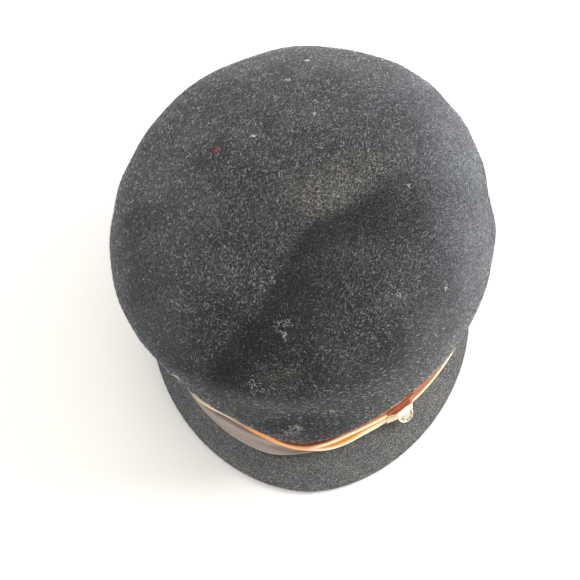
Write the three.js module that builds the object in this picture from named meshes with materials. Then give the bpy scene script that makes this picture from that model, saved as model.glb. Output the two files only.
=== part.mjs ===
// A peaked hat of black velour, a long-napped fur felt: a soft bubble crown, a short front peak, a band of
// two satin ribbons round the foot of the crown, and one small domed metal button at the right front.
// Millimetres, +Z up, the peak at -Y, and +X to the right as the hat is seen from in front.

import * as THREE from "three";

// Driving sizes

const FELT = 2.8;              // thickness of the crown's wall
const PEAK_FELT = 2.6;         // thickness of the peak
const RIBBON = 1.0;            // thickness of each ribbon of the band
const GAP = 0.3;               // clearance between two pieces that lie on each other

const RIM_ARCH = 10;           // how high the crown's lower edge rises over the peak
const ARCH_FULL = 50;          // the arch has its full height this many degrees either side of the front
const ARCH_END = 106;          // the arch has run out this many degrees from the front
const ARCH_FADE_HEIGHT = 60;   // above this height the crown no longer follows the arch

// Sections of the crown from its lower edge to its top. Each is an oval: height, half width, half length,
// shift to the right and to the back, turn about the vertical in degrees, and fullness (2 is an ellipse,
// less is more pointed). The soft crown sits a little askew, so the ovals shift and turn on the way up.
const CROWN_SECTIONS = [
  { height: 0, halfWidth: 89.5, halfLength: 106.8, right: 1, back: 0, turn: -10.9, fullness: 1.74 },
  { height: 22, halfWidth: 87, halfLength: 103, right: 3.2, back: 1.6, turn: -10.9, fullness: 1.74 },
  { height: 42, halfWidth: 96.9, halfLength: 108.5, right: 1.6, back: -1.9, turn: -2.6, fullness: 1.65 },
  { height: 64, halfWidth: 99.3, halfLength: 106.2, right: -2, back: 0.3, turn: -11.7, fullness: 1.94 },
  { height: 88, halfWidth: 93, halfLength: 105, right: -2.5, back: -3, turn: -19, fullness: 2.0 },
  { height: 108, halfWidth: 82.5, halfLength: 85.5, right: -2, back: -3.5, turn: -21, fullness: 2.05 },
  { height: 117.5, halfWidth: 56, halfLength: 60, right: 0, back: -2, turn: -22, fullness: 2.1 },
  { height: 122, halfWidth: 26, halfLength: 28, right: 0, back: -2, turn: -22, fullness: 2.1 },
  { height: 122.8, halfWidth: 0, halfLength: 0, right: 0, back: -2, turn: -22, fullness: 2.1 },
];

// Soft hollows pressed into the crown: place to the right and back, the direction in degrees that the
// hollow runs in, its reach along that direction, its reach to the left and to the right of it, and depth.
const CROWN_HOLLOWS = [
  { right: 12, back: -50, runs: 50, along: 44, left: 12, rightwards: 27, depth: 8 },
  { right: -30, back: -88, runs: 22, along: 28, left: 15, rightwards: 19, depth: 5 },
  { right: 27, back: -7, runs: 40, along: 11, left: 8, rightwards: 9, depth: 1.8 },
  { right: -68, back: -42, runs: 100, along: 26, left: 20, rightwards: 16, depth: 2.5 },
];
const HOLLOWS_START = 62;      // hollows begin above this height
const HOLLOWS_FULL = 96;       // and have their full depth above this one
const CROWN_MIDDLE = new THREE.Vector3(0, 0, 55);   // the point that the hollows are pressed towards

// The peak's outer edge is an oval of its own, resting on the table.
const PEAK_EDGE = { halfWidth: 91.5, halfLength: 106, right: 0, back: -17, turn: 0, fullness: 1.85 };
const PEAK_EDGE_ANGLES = [193, 361];   // where the edge starts and ends on its oval, in degrees
const PEAK_ROOT_ANGLES = [208, 365];   // where the root starts and ends on the crown's lowest oval
const PEAK_TONGUE = 9;         // height of the tongue that is sewn up inside the crown
const PEAK_FLAT = 0.32;        // share of the peak's depth that stays level under the crown and the band
const PEAK_DROOP = 1.25;       // power of the curve by which the rest of the peak falls to its edge
const PEAK_END_RISE = 6;       // power of the curve by which the edge rises to the band at its two ends

// The band: heights are measured up the crown from its lower edge.
const UNDER_BAND = { low: 0.2, high: 27 };
const OVER_BAND_HIGH = 28;
// Lower edge of the over band, by the angle in degrees from the front, positive to the right.
const OVER_BAND_EDGE = [
  { angle: -180, height: 9 },
  { angle: -110, height: 12 },
  { angle: -60, height: 18 },
  { angle: -22, height: 19.5 },
  { angle: -10, height: 13 },
  { angle: -2, height: 7 },
  { angle: 6, height: 2.5 },
  { angle: 13, height: 0.2 },
  { angle: 70, height: 0.2 },
  { angle: 120, height: 6 },
  { angle: 180, height: 9 },
];
const PLEATS = 3;              // folds that run round the over band
const PLEAT_DEPTH = 0.7;

// The button sits at an angle from the front and a height up the crown, its face tilted up.
const BUTTON = { angle: 34.1, height: 5.6, tilt: 38, radius: 5, rimRadius: 0.9, domeHeight: 2.2, backPlate: 1.6 };
const BUTTON_SHANK = { radius: 1.3, length: 1.6 };
const ROLLED_RIM = { start: -90, end: 150 };   // degrees round the rim's section that show
const DOME_START = 20;         // degrees up the dome's section at which it leaves the rim

// How finely the surfaces are divided

const AROUND = 60;
const ABOVE_THE_BAND = 18;
const BEHIND_THE_BAND = 5;
const ALONG_THE_PEAK = 48;
const UP_THE_UNDER_BAND = 6;
const UP_THE_OVER_BAND = 6;
const PEAK_STEPS = [0.16, 0.32, 0.5, 0.68, 0.84, 1];
const EDGE_ROUNDING = [35, 62, 80];    // degrees round the peak's rounded edge
const BUTTON_SIDES = 20;
const ROUND_THE_RIM = 7;
const UP_THE_DOME = 4;
const NORMAL_REACH = 0.5;      // degrees, and millimetres up the wall, over which a slope is measured
const HALVINGS = 30;           // halvings that find a height on the wall

const FRONT = -90;             // direction of the peak, in degrees from +X
const FULL_TURN = 360;
const { degToRad: radians, lerp, smoothstep } = THREE.MathUtils;

// Helpers for tables and ovals

/** Reads one column of a table at a place between its rows, by a cubic that never overshoots a row. */
function readTable(rows, keyName, column, place) {
  const keys = rows.map((row) => row[keyName]);
  const values = rows.map((row) => row[column]);
  const last = rows.length - 1;
  const at = THREE.MathUtils.clamp(place, keys[0], keys[last]);
  let i = 0;
  while (i < last - 1 && at > keys[i + 1]) i += 1;
  const slope = (k) => (values[k + 1] - values[k]) / (keys[k + 1] - keys[k]);
  const tangent = (k) => {
    if (k === 0) return slope(0);
    if (k === last) return slope(last - 1);
    const before = slope(k - 1);
    const after = slope(k);
    return before * after <= 0 ? 0 : (2 * before * after) / (before + after);
  };
  const step = keys[i + 1] - keys[i];
  const t = (at - keys[i]) / step;
  const fromStart = (1 + 2 * t) * (1 - t) ** 2 * values[i] + t * (1 - t) ** 2 * step * tangent(i);
  const fromEnd = t ** 2 * (3 - 2 * t) * values[i + 1] + t ** 2 * (t - 1) * step * tangent(i + 1);
  return fromStart + fromEnd;
}

/** A point of an oval: an ellipse whose power is its fullness, then turned and shifted. */
function ovalPoint(oval, angle) {
  const c = Math.cos(radians(angle));
  const s = Math.sin(radians(angle));
  const stretch = (Math.abs(c) ** oval.fullness + Math.abs(s) ** oval.fullness) ** (-1 / oval.fullness);
  const point = new THREE.Vector2(oval.halfWidth * c * stretch, oval.halfLength * s * stretch);
  point.rotateAround(new THREE.Vector2(0, 0), radians(oval.turn));
  return point.add(new THREE.Vector2(oval.right, oval.back));
}

// The crown's surface

// Each section gets its distance from the lower edge, measured along the wall.
let wallLength = 0;
CROWN_SECTIONS.forEach((section, i) => {
  const below = CROWN_SECTIONS[Math.max(i - 1, 0)];
  wallLength += Math.hypot(section.height - below.height, section.halfWidth - below.halfWidth);
  section.along = wallLength;
});

/** The oval of the crown at a distance up the wall. */
function crownOval(along) {
  const oval = {};
  for (const column of ["height", "halfWidth", "halfLength", "right", "back", "turn", "fullness"]) {
    oval[column] = readTable(CROWN_SECTIONS, "along", column, along);
  }
  return oval;
}

/** Distance up the wall at which the crown has a given height. */
function alongAtHeight(height) {
  let low = 0;
  let high = wallLength;
  for (let halving = 0; halving < HALVINGS; halving += 1) {
    const middle = (low + high) / 2;
    if (crownOval(middle).height < height) low = middle;
    else high = middle;
  }
  return (low + high) / 2;
}

/** Degrees from the front of an angle on the lowest oval, positive to the right. */
function fromFront(angle) {
  const halfTurn = FULL_TURN / 2;
  const direction = angle + CROWN_SECTIONS[0].turn - FRONT;
  return THREE.MathUtils.euclideanModulo(direction + halfTurn, FULL_TURN) - halfTurn;
}

/** How far the lower edge is raised at an angle on the lowest oval. */
function archLift(angle) {
  return RIM_ARCH * (1 - smoothstep(Math.abs(fromFront(angle)), ARCH_FULL, ARCH_END));
}

/** Depth of all the hollows together at a point of the crown. */
function hollowDepth(point) {
  let depth = 0;
  for (const hollow of CROWN_HOLLOWS) {
    const fromHollow = new THREE.Vector2(point.x - hollow.right, point.y - hollow.back);
    fromHollow.rotateAround(new THREE.Vector2(0, 0), -radians(hollow.runs));
    const along = fromHollow.x / hollow.along;
    const across = fromHollow.y / (fromHollow.y > 0 ? hollow.left : hollow.rightwards);
    depth += hollow.depth * Math.exp(-(along ** 2) - across ** 2);
  }
  return depth * smoothstep(point.z, HOLLOWS_START, HOLLOWS_FULL);
}

/** A point of the crown's outer face at an angle and a distance up the wall. */
function crownFace(angle, along) {
  const oval = crownOval(along);
  const flat = ovalPoint(oval, angle);
  const arch = archLift(angle) * (1 - smoothstep(oval.height, 0, ARCH_FADE_HEIGHT));
  const point = new THREE.Vector3(flat.x, flat.y, oval.height + arch);
  const inwards = CROWN_MIDDLE.clone().sub(point).normalize();
  return point.addScaledVector(inwards, hollowDepth(point));
}

/** A point at a distance outside the crown's outer face, or inside it where the distance is negative. */
function crownPoint(angle, along, outwards) {
  const high = Math.min(along + NORMAL_REACH, wallLength - NORMAL_REACH);
  const low = Math.min(Math.max(along - NORMAL_REACH, 0), high - NORMAL_REACH);
  const level = Math.min(along, high);
  const up = crownFace(angle, high).sub(crownFace(angle, low));
  const round = crownFace(angle + NORMAL_REACH, level).sub(crownFace(angle - NORMAL_REACH, level));
  const normal = round.cross(up).normalize();
  return crownFace(angle, along).addScaledVector(normal, outwards);
}

// Building closed meshes from rows of points

/** Triangles between neighbouring rows of points, each row running the same way round. */
function facesBetweenRows(rowCount, rowLength, joinLastRow, joinLastPoint) {
  const faces = [];
  for (let i = 0; i < rowCount - (joinLastRow ? 0 : 1); i += 1) {
    for (let j = 0; j < rowLength - (joinLastPoint ? 0 : 1); j += 1) {
      const here = i * rowLength + j;
      const beside = i * rowLength + ((j + 1) % rowLength);
      const next = ((i + 1) % rowCount) * rowLength + j;
      const nextBeside = ((i + 1) % rowCount) * rowLength + ((j + 1) % rowLength);
      faces.push([here, next, nextBeside], [here, nextBeside, beside]);
    }
  }
  return faces;
}

/** Triangles from one point to all neighbours of a closed row. */
function fan(pole, rowStart, rowLength, flipped) {
  const faces = [];
  for (let j = 0; j < rowLength; j += 1) {
    const here = rowStart + j;
    const beside = rowStart + ((j + 1) % rowLength);
    faces.push(flipped ? [pole, beside, here] : [pole, here, beside]);
  }
  return faces;
}

function makePiece(name, points, faces, material) {
  const geometry = new THREE.BufferGeometry();
  geometry.setAttribute("position", new THREE.Float32BufferAttribute(points.flatMap((p) => p.toArray()), 3));
  geometry.setIndex(faces.flat());
  geometry.computeVertexNormals();
  const piece = new THREE.Mesh(geometry, new THREE.MeshStandardMaterial(material));
  piece.name = name;
  return piece;
}

/** Equal steps from a start to an end, both ends included. */
function steps(start, end, count) {
  return Array.from({ length: count }, (_, i) => start + ((end - start) * i) / (count - 1));
}

// The crown: down the outer face from the top, round the lower edge, and up the inner face

function makeCrown() {
  const angles = steps(0, FULL_TURN, AROUND + 1).slice(0, AROUND);
  const aboveBand = steps(wallLength, alongAtHeight(OVER_BAND_HIGH), ABOVE_THE_BAND).slice(1);
  const behindBand = steps(OVER_BAND_HIGH, 0, BEHIND_THE_BAND + 1).slice(1).map(alongAtHeight);
  const down = [...aboveBand, ...behindBand];
  const outerRows = down.map((along) => angles.map((angle) => crownPoint(angle, along, 0)));
  const innerRows = down.toReversed().map((along) => angles.map((angle) => crownPoint(angle, along, -FELT)));
  for (const [j, point] of innerRows[0].entries()) {
    point.z = outerRows.at(-1)[j].z;
  }
  const rows = [...outerRows, ...innerRows];
  const top = crownFace(0, wallLength);
  const points = [...rows.flat(), top, top.clone().add(new THREE.Vector3(0, 0, -FELT))];
  const faces = [
    ...facesBetweenRows(rows.length, AROUND, false, true),
    ...fan(points.length - 2, 0, AROUND, false),
    ...fan(points.length - 1, (rows.length - 1) * AROUND, AROUND, true),
  ];
  return makePiece("crown", points, faces, { color: 0x1b1b1e, roughness: 0.95, metalness: 0 });
}

// The peak: a tongue up inside the crown, a level root under its edge, then a slope down to the table

/** Half thickness and middle points of the peak's section at a share of the way round the front. */
function peakSection(share) {
  const rootAngle = lerp(...PEAK_ROOT_ANGLES, share);
  const edgeAngle = lerp(...PEAK_EDGE_ANGLES, share);
  const half = PEAK_FELT / 2;
  const inset = -(FELT + GAP + half);
  const tongueTop = crownPoint(rootAngle, alongAtHeight(PEAK_TONGUE), inset);
  const corner = crownPoint(rootAngle, 0, inset);
  corner.z = archLift(rootAngle) - GAP - half;
  const edgeFlat = ovalPoint(PEAK_EDGE, edgeAngle);
  const edgeHeight = lerp(half, corner.z, Math.abs(2 * share - 1) ** PEAK_END_RISE);
  const edge = new THREE.Vector3(edgeFlat.x, edgeFlat.y, edgeHeight);
  const outwards = edge.clone().sub(corner).setZ(0).normalize();
  edge.addScaledVector(outwards, -half);

  const middle = [tongueTop, corner];
  for (const step of PEAK_STEPS) {
    const fallen = Math.max(step - PEAK_FLAT, 0) / (1 - PEAK_FLAT);
    const point = corner.clone().lerp(edge, step);
    point.z = lerp(corner.z, edge.z, fallen ** PEAK_DROOP);
    middle.push(point);
  }
  return { middle, outwards, half };
}

/** The two points at a distance either side of a middle point. */
function bothSides(point, direction, distance) {
  return [distance, -distance].map((reach) => point.clone().addScaledVector(direction, reach));
}

/** Upper and lower points of the peak's section, in pairs from the tongue to the rounded edge. */
function peakPairs(share) {
  const { middle, outwards, half } = peakSection(share);
  const up = new THREE.Vector3(0, 0, 1);
  const slopeAt = (from, to) => {
    const way = middle[to].clone().sub(middle[from]);
    return Math.atan2(way.z, way.dot(outwards));
  };
  const pairs = middle.map((point, i) => {
    const before = slopeAt(Math.max(i - 1, 0), Math.max(i, 1));
    const after = i === middle.length - 1 ? before : slopeAt(i, i + 1);
    const slope = (before + after) / 2;
    const mitre = half / Math.cos((after - before) / 2);
    const across = up.clone().multiplyScalar(Math.cos(slope)).addScaledVector(outwards, -Math.sin(slope));
    return bothSides(point, across, mitre);
  });
  const tip = middle.at(-1);
  for (const turn of EDGE_ROUNDING) {
    const rim = tip.clone().addScaledVector(outwards, half * Math.sin(radians(turn)));
    pairs.push(bothSides(rim, up, half * Math.cos(radians(turn))));
  }
  return pairs;
}

function makePeak() {
  const sections = steps(0, 1, ALONG_THE_PEAK).map((share) => {
    const pairs = peakPairs(share);
    return [...pairs.map((pair) => pair[1]), ...pairs.map((pair) => pair[0]).toReversed()];
  });
  const length = sections[0].length;
  const faces = facesBetweenRows(sections.length, length, false, true);
  const lastSection = (sections.length - 1) * length;
  for (let i = 0; i < length / 2 - 1; i += 1) {
    const opposite = length - 1 - i;
    faces.push([i, i + 1, opposite - 1], [i, opposite - 1, opposite]);
    const [a, b, c, d] = [i, i + 1, opposite - 1, opposite].map((index) => index + lastSection);
    faces.push([a, c, b], [a, d, c]);
  }
  return makePiece("peak", sections.flat(), faces, { color: 0x1d1d20, roughness: 0.95, metalness: 0 });
}

// The band: two ribbons that close on themselves round the crown

/** A ribbon round the crown from its edge heights, its inner clearance and its thickness at each share up. */
function makeRibbon(name, edgeHeights, clearance, thicknessAt, stepsUp, material) {
  const sections = [];
  for (const angle of steps(0, FULL_TURN, AROUND + 1).slice(0, AROUND)) {
    const { low, high } = edgeHeights(angle);
    const shares = steps(0, 1, stepsUp + 1);
    const alongs = shares.map((share) => alongAtHeight(lerp(low, high, share)));
    const inner = alongs.map((along) => crownPoint(angle, along, clearance));
    const outer = alongs.map((along, i) => crownPoint(angle, along, clearance + thicknessAt(shares[i])));
    sections.push([...outer, ...inner.toReversed()]);
  }
  const faces = facesBetweenRows(sections.length, sections[0].length, true, true);
  return makePiece(name, sections.flat(), faces, material);
}

function makeUnderBand() {
  return makeRibbon("band_under", () => UNDER_BAND, GAP, () => RIBBON, UP_THE_UNDER_BAND,
    { color: 0x96867a, roughness: 0.4, metalness: 0 });
}

function makeOverBand() {
  const edgeHeights = (angle) => {
    return { low: readTable(OVER_BAND_EDGE, "angle", "height", fromFront(angle)), high: OVER_BAND_HIGH };
  };
  const pleated = (share) => RIBBON + PLEAT_DEPTH * Math.abs(Math.sin(share * PLEATS * Math.PI));
  return makeRibbon("band_over", edgeHeights, GAP + RIBBON + GAP, pleated, UP_THE_OVER_BAND,
    { color: 0xd9883a, roughness: 0.35, metalness: 0 });
}

// The button: a low dome inside a rolled rim, on a short shank, tipped up against the band

/** The button's section, from the end of its shank out to the rolled rim and in to the top of the dome. */
function buttonProfile() {
  const { radius, rimRadius, domeHeight, backPlate } = BUTTON;
  const shankBack = -backPlate - BUTTON_SHANK.length;
  const rimMiddle = radius - rimRadius;
  const domeRadius = rimMiddle - rimRadius;
  const back = [[0, shankBack], [BUTTON_SHANK.radius, shankBack], [BUTTON_SHANK.radius, -backPlate]];
  const rim = steps(ROLLED_RIM.start, ROLLED_RIM.end, ROUND_THE_RIM).map(radians).map((turn) => {
    return [rimMiddle + rimRadius * Math.cos(turn), rimRadius * Math.sin(turn)];
  });
  const dome = steps(DOME_START, 90, UP_THE_DOME).map(radians).map((turn) => {
    return [domeRadius * Math.cos(turn), domeHeight * Math.sin(turn)];
  });
  dome.at(-1)[0] = 0;
  return [...back, [rimMiddle, -backPlate], ...rim, ...dome].map(([x, y]) => new THREE.Vector2(x, y));
}

function makeButton() {
  const material = new THREE.MeshStandardMaterial({ color: 0xd8c79a, roughness: 0.25, metalness: 1 });
  const button = new THREE.Mesh(new THREE.LatheGeometry(buttonProfile(), BUTTON_SIDES), material);
  button.name = "button";
  const angle = BUTTON.angle + FRONT - CROWN_SECTIONS[0].turn;
  const along = alongAtHeight(BUTTON.height);
  const bandFace = GAP + RIBBON + GAP + RIBBON + PLEAT_DEPTH;
  const seat = crownPoint(angle, along, bandFace + GAP);
  const outwards = crownPoint(angle, along, 1).sub(crownPoint(angle, along, 0)).setZ(0).normalize();
  const tilt = radians(BUTTON.tilt);
  const axis = outwards.clone().multiplyScalar(Math.cos(tilt)).setZ(Math.sin(tilt));
  button.quaternion.setFromUnitVectors(new THREE.Vector3(0, 1, 0), axis);
  const behindRim = BUTTON.backPlate + BUTTON_SHANK.length;
  const reach = behindRim * Math.cos(tilt) + BUTTON_SHANK.radius * Math.sin(tilt);
  button.position.copy(seat).addScaledVector(outwards, reach);
  return button;
}

// The hat stands with the middle of its footprint at the origin

const hat = new THREE.Group();
hat.add(makeCrown(), makePeak(), makeUnderBand(), makeOverBand(), makeButton());
hat.updateMatrixWorld(true);
const box = new THREE.Box3().setFromObject(hat, true);
const middle = box.getCenter(new THREE.Vector3());
hat.position.set(-middle.x, -middle.y, -box.min.z);

export default hat;
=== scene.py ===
# %% [markdown]
# A peaked hat of black velour. Velour is fur felt that is brushed until a long pile stands up and is laid
# down again, so its colour is made by thousands of fine hairs that catch the light. The script takes the
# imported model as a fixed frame, puts a finer piece in place of each of its soft solids, and adds the pile.

# %% Load the frame
import bpy
import numpy as np
from mathutils import Matrix, Vector


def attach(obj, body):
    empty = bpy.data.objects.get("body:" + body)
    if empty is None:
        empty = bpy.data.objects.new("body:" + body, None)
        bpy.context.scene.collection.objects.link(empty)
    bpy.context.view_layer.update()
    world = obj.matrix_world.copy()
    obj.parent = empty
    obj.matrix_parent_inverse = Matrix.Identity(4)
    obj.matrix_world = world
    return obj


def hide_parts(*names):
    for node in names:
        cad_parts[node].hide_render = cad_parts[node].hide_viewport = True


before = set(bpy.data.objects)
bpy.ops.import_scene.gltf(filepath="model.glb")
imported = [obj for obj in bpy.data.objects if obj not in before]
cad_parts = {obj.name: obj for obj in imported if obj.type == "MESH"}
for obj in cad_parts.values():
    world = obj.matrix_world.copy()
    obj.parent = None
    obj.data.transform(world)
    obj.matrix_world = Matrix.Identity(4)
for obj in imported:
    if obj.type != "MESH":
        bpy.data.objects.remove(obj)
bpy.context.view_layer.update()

MM = 0.001

# %% [markdown]
# The camera comes first. The hat is seen from above and in front, at 62 degrees over the floor and a
# little from its right, and the picture is tilted a few degrees. Three Euler angles could say the same, but
# the order of their turns is easy to get wrong. So the camera's own axes are worked out, the tilt turns two
# of them, and they go in as the columns of its matrix.

# %% Camera
CAMERA_ELEVATION, CAMERA_AZIMUTH, CAMERA_ROLL = np.radians([62.0, 6.0, 6.0])
CAMERA_TARGET = np.array([-6.644, -26.607, 60.0]) * MM
CAMERA_DISTANCE = 446 * MM
CAMERA_LENS = 54.0

back = np.array([
    np.sin(CAMERA_AZIMUTH) * np.cos(CAMERA_ELEVATION),
    -np.cos(CAMERA_AZIMUTH) * np.cos(CAMERA_ELEVATION),
    np.sin(CAMERA_ELEVATION),
])
level = np.array([np.cos(CAMERA_AZIMUTH), np.sin(CAMERA_AZIMUTH), 0.0])
upright = np.cross(back, level)
across = np.cos(CAMERA_ROLL) * level - np.sin(CAMERA_ROLL) * upright
upwards = np.sin(CAMERA_ROLL) * level + np.cos(CAMERA_ROLL) * upright

camera = bpy.data.objects.new("camera", bpy.data.cameras.new("camera"))
camera.data.lens = CAMERA_LENS
camera.data.sensor_width = 36.0
camera.data.clip_start = 0.01
place = Matrix([Vector(across), Vector(upwards), Vector(back)]).transposed().to_4x4()
place.translation = Vector(CAMERA_TARGET + CAMERA_DISTANCE * back)
camera.matrix_world = place
bpy.context.collection.objects.link(camera)
bpy.context.scene.camera = camera
print("camera at", [round(v, 3) for v in place.translation])

# %% [markdown]
# The crown is a stack of ovals. Each row of the table is one oval, from the lower edge to the top, and the
# crown sits a little askew, so the ovals shift and turn on the way up. The same sizes made the frame's
# solid crown; here they are read at many more places. Lengths are in millimetres until a mesh is made.

# %% Sizes of the hat
FELT, PEAK_FELT, RIBBON = 2.8, 2.6, 1.0          # thickness of each cloth
GAP = 0.3                                        # between one piece and the next
RIM_ARCH = 10.0                                  # how far the lower edge rises in front
ARCH_SPAN = (50.0, 106.0)                        # degrees from the front: full arch, no arch
ARCH_FADE_HEIGHT = 60.0                          # above it the crown doesn't feel the arch
FOOTPRINT_SHIFT = np.array([1.45, 7.803, 0.0])   # puts the middle of the hat's footprint at the origin

# height, half width, half length, right, back, turn, fullness
CROWN_SECTIONS = np.array([
    (0.0, 89.5, 106.8, 1.0, 0.0, -10.9, 1.74),
    (22.0, 87.0, 103.0, 3.2, 1.6, -10.9, 1.74),
    (42.0, 96.9, 108.5, 1.6, -1.9, -2.6, 1.65),
    (64.0, 99.3, 106.2, -2.0, 0.3, -11.7, 1.94),
    (88.0, 93.0, 105.0, -2.5, -3.0, -19.0, 2.0),
    (108.0, 82.5, 85.5, -2.0, -3.5, -21.0, 2.05),
    (117.5, 56.0, 60.0, 0.0, -2.0, -22.0, 2.1),
    (122.0, 26.0, 28.0, 0.0, -2.0, -22.0, 2.1),
    (122.8, 0.0, 0.0, 0.0, -2.0, -22.0, 2.1),
])
# right, back, direction it runs in, reach along it, reach to its left, reach to its right, depth
CROWN_HOLLOWS = [
    (12.0, -50.0, 50.0, 44.0, 12.0, 27.0, 8.0),
    (-30.0, -88.0, 22.0, 28.0, 15.0, 19.0, 5.0),
    (27.0, -7.0, 40.0, 11.0, 8.0, 9.0, 1.8),
    (-68.0, -42.0, 100.0, 26.0, 20.0, 16.0, 2.5),
]
HOLLOWS_START, HOLLOWS_FULL = 62.0, 96.0
CROWN_MIDDLE = np.array([0.0, 0.0, 55.0])         # dents push towards it
TURN_OF_RIM = CROWN_SECTIONS[0, 5]
FRONT = -90.0

rises = np.hypot(np.diff(CROWN_SECTIONS[:, 0]), np.diff(CROWN_SECTIONS[:, 1]))
SECTION_PLACES = np.concatenate([[0.0], np.cumsum(rises)])
WALL_LENGTH = SECTION_PLACES[-1]
print("wall length", round(WALL_LENGTH, 1), "mm")

# %% [markdown]
# A few ovals have to become a smooth wall. Blender could loft them, but then no other piece could ask where
# the wall is. So the table is read as a function: a cubic between neighbouring rows that never swings past
# them, and an oval whose fullness says how square it is.

# %% Reading a table and laying an oval


def ease(value, start, end):
    """Goes from 0 at start to 1 at end as 3t squared less 2t cubed."""
    t = np.clip((value - start) / (end - start), 0, 1)
    return t * t * (3 - 2 * t)


def read_table(keys, values, place):
    """Cubic between neighbouring rows whose slope at a row is the harmonic mean of its two neighbours."""
    slopes = np.diff(values) / np.diff(keys)
    before, after = slopes[:-1], slopes[1:]
    same_way = before * after > 0
    middle = np.where(same_way, 2 * before * after / np.where(same_way, before + after, 1), 0)
    tangents = np.concatenate([slopes[:1], middle, slopes[-1:]])
    place = np.clip(place, keys[0], keys[-1])
    i = np.clip(np.searchsorted(keys, place, "left") - 1, 0, len(slopes) - 1)
    step = keys[i + 1] - keys[i]
    t = (place - keys[i]) / step
    first = (1 + 2 * t) * (1 - t) ** 2 * values[i] + t * (1 - t) ** 2 * step * tangents[i]
    second = t ** 2 * (3 - 2 * t) * values[i + 1] + t ** 2 * (t - 1) * step * tangents[i + 1]
    return first + second


def oval_point(half_width, half_length, right, back, turn, fullness, angle):
    """Ellipse point scaled so that |cos|^fullness + |sin|^fullness is one, then turned and shifted."""
    c, s = np.cos(np.radians(angle)), np.sin(np.radians(angle))
    stretch = (np.abs(c) ** fullness + np.abs(s) ** fullness) ** (-1 / fullness)
    x, y = half_width * c * stretch, half_length * s * stretch
    t = np.radians(turn)
    return x * np.cos(t) - y * np.sin(t) + right, x * np.sin(t) + y * np.cos(t) + back


places = np.linspace(0, WALL_LENGTH, 6001)
heights = read_table(SECTION_PLACES, CROWN_SECTIONS[:, 0], places)


def along_at(height):
    """Distance up the wall at which the crown has a height, read back from a fine table of heights."""
    return np.interp(height, heights, places)


def from_front(angle):
    """Degrees from the front of an angle on the lowest oval, positive to the right, from -180 to 180."""
    return (angle + TURN_OF_RIM - FRONT + 180) % 360 - 180


def angle_at(degrees_from_front):
    """The angle on the lowest oval that lies so many degrees from the front."""
    return degrees_from_front + FRONT - TURN_OF_RIM


def arch_lift(angle):
    """Full arch within 50 degrees of the front, eased away to nothing at 106."""
    return RIM_ARCH * (1 - ease(np.abs(from_front(angle)), *ARCH_SPAN))


def hollow_depth(points):
    """Sum of bell-shaped hollows, each exp(-(along)^2 - (across)^2), faded in above the side of the crown."""
    depth = 0
    for right, back, runs, reach, left_reach, right_reach, deep in CROWN_HOLLOWS:
        x, y = points[..., 0] - right, points[..., 1] - back
        t = -np.radians(runs)
        u, v = x * np.cos(t) - y * np.sin(t), x * np.sin(t) + y * np.cos(t)
        v = v / np.where(v > 0, left_reach, right_reach)
        depth = depth + deep * np.exp(-(u / reach) ** 2 - v ** 2)
    return depth * ease(points[..., 2], HOLLOWS_START, HOLLOWS_FULL)


widest = CROWN_SECTIONS[CROWN_SECTIONS[:, 1].argmax()]
print("the crown is", 2 * widest[1], "mm wide at its widest,", widest[0], "mm up")

# %% [markdown]
# A soft crown is never a clean mathematical surface. A crease in the shape of a long S runs over its top,
# and the steam and the block leave slow waves a few tenths of a millimetre high. Bump in a material could
# fake both, but not in the outline. So they are small moves inwards and outwards here, which are real shape.

# %% The crown's surface
# the crease, to the right and to the back of the middle
CREASE_PATH = np.array([
    (37.0, -8.5), (20.0, -21.5), (4.0, -30.5), (-8.0, -47.5), (-14.0, -62.5), (-21.0, -72.5), (-36.0, -84.5),
    (-47.0, -96.5),
])
CREASE_DEPTH, CREASE_REACH = 0.8, 3.5
CREASE_START, CREASE_FULL = 90, 112
WAVE_HEIGHT, WAVE_COUNT, WAVE_LENGTHS = 0.11, 14, (22, 55)
WAVES_START, WAVES_FULL = 32, 48
SHORT_STEP = 0.5   # mm up the wall, and degrees round it

waves = np.random.default_rng(31)
wave_ways = waves.normal(0, 1, (WAVE_COUNT, 3))
wave_lengths = waves.uniform(*WAVE_LENGTHS, WAVE_COUNT)
wave_ways *= (2 * np.pi / wave_lengths / np.linalg.norm(wave_ways, axis=1))[:, None]
wave_starts = waves.uniform(0, 2 * np.pi, WAVE_COUNT)


def crease_distance(x, y):
    """Signed distance in plan from the crease's path, positive on its right and front side."""
    best = np.full(np.shape(x), 1e9)
    signed = np.zeros(np.shape(x))
    for (ax, ay), (bx, by) in zip(CREASE_PATH[:-1], CREASE_PATH[1:]):
        dx, dy = bx - ax, by - ay
        t = np.clip(((x - ax) * dx + (y - ay) * dy) / (dx * dx + dy * dy), 0, 1)
        ex, ey = x - ax - t * dx, y - ay - t * dy
        distance = np.hypot(ex, ey)
        side = np.sign(dx * ey - dy * ex)
        signed = np.where(distance < best, distance * side, signed)
        best = np.minimum(distance, best)
    return signed


def unevenness(points):
    """Sum of slow sine waves in fixed random directions, above the band only."""
    total = sum(np.sin(points @ way + start) for way, start in zip(wave_ways, wave_starts))
    return WAVE_HEIGHT * total * ease(points[..., 2], WAVES_START, WAVES_FULL)


def crease_depth(points):
    """Depth times exp(-(distance / reach) squared), on the upper part of the crown only."""
    distance = crease_distance(points[..., 0], points[..., 1])
    depth = CREASE_DEPTH * np.exp(-(distance / CREASE_REACH) ** 2)
    return depth * ease(points[..., 2], CREASE_START, CREASE_FULL)


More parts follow.
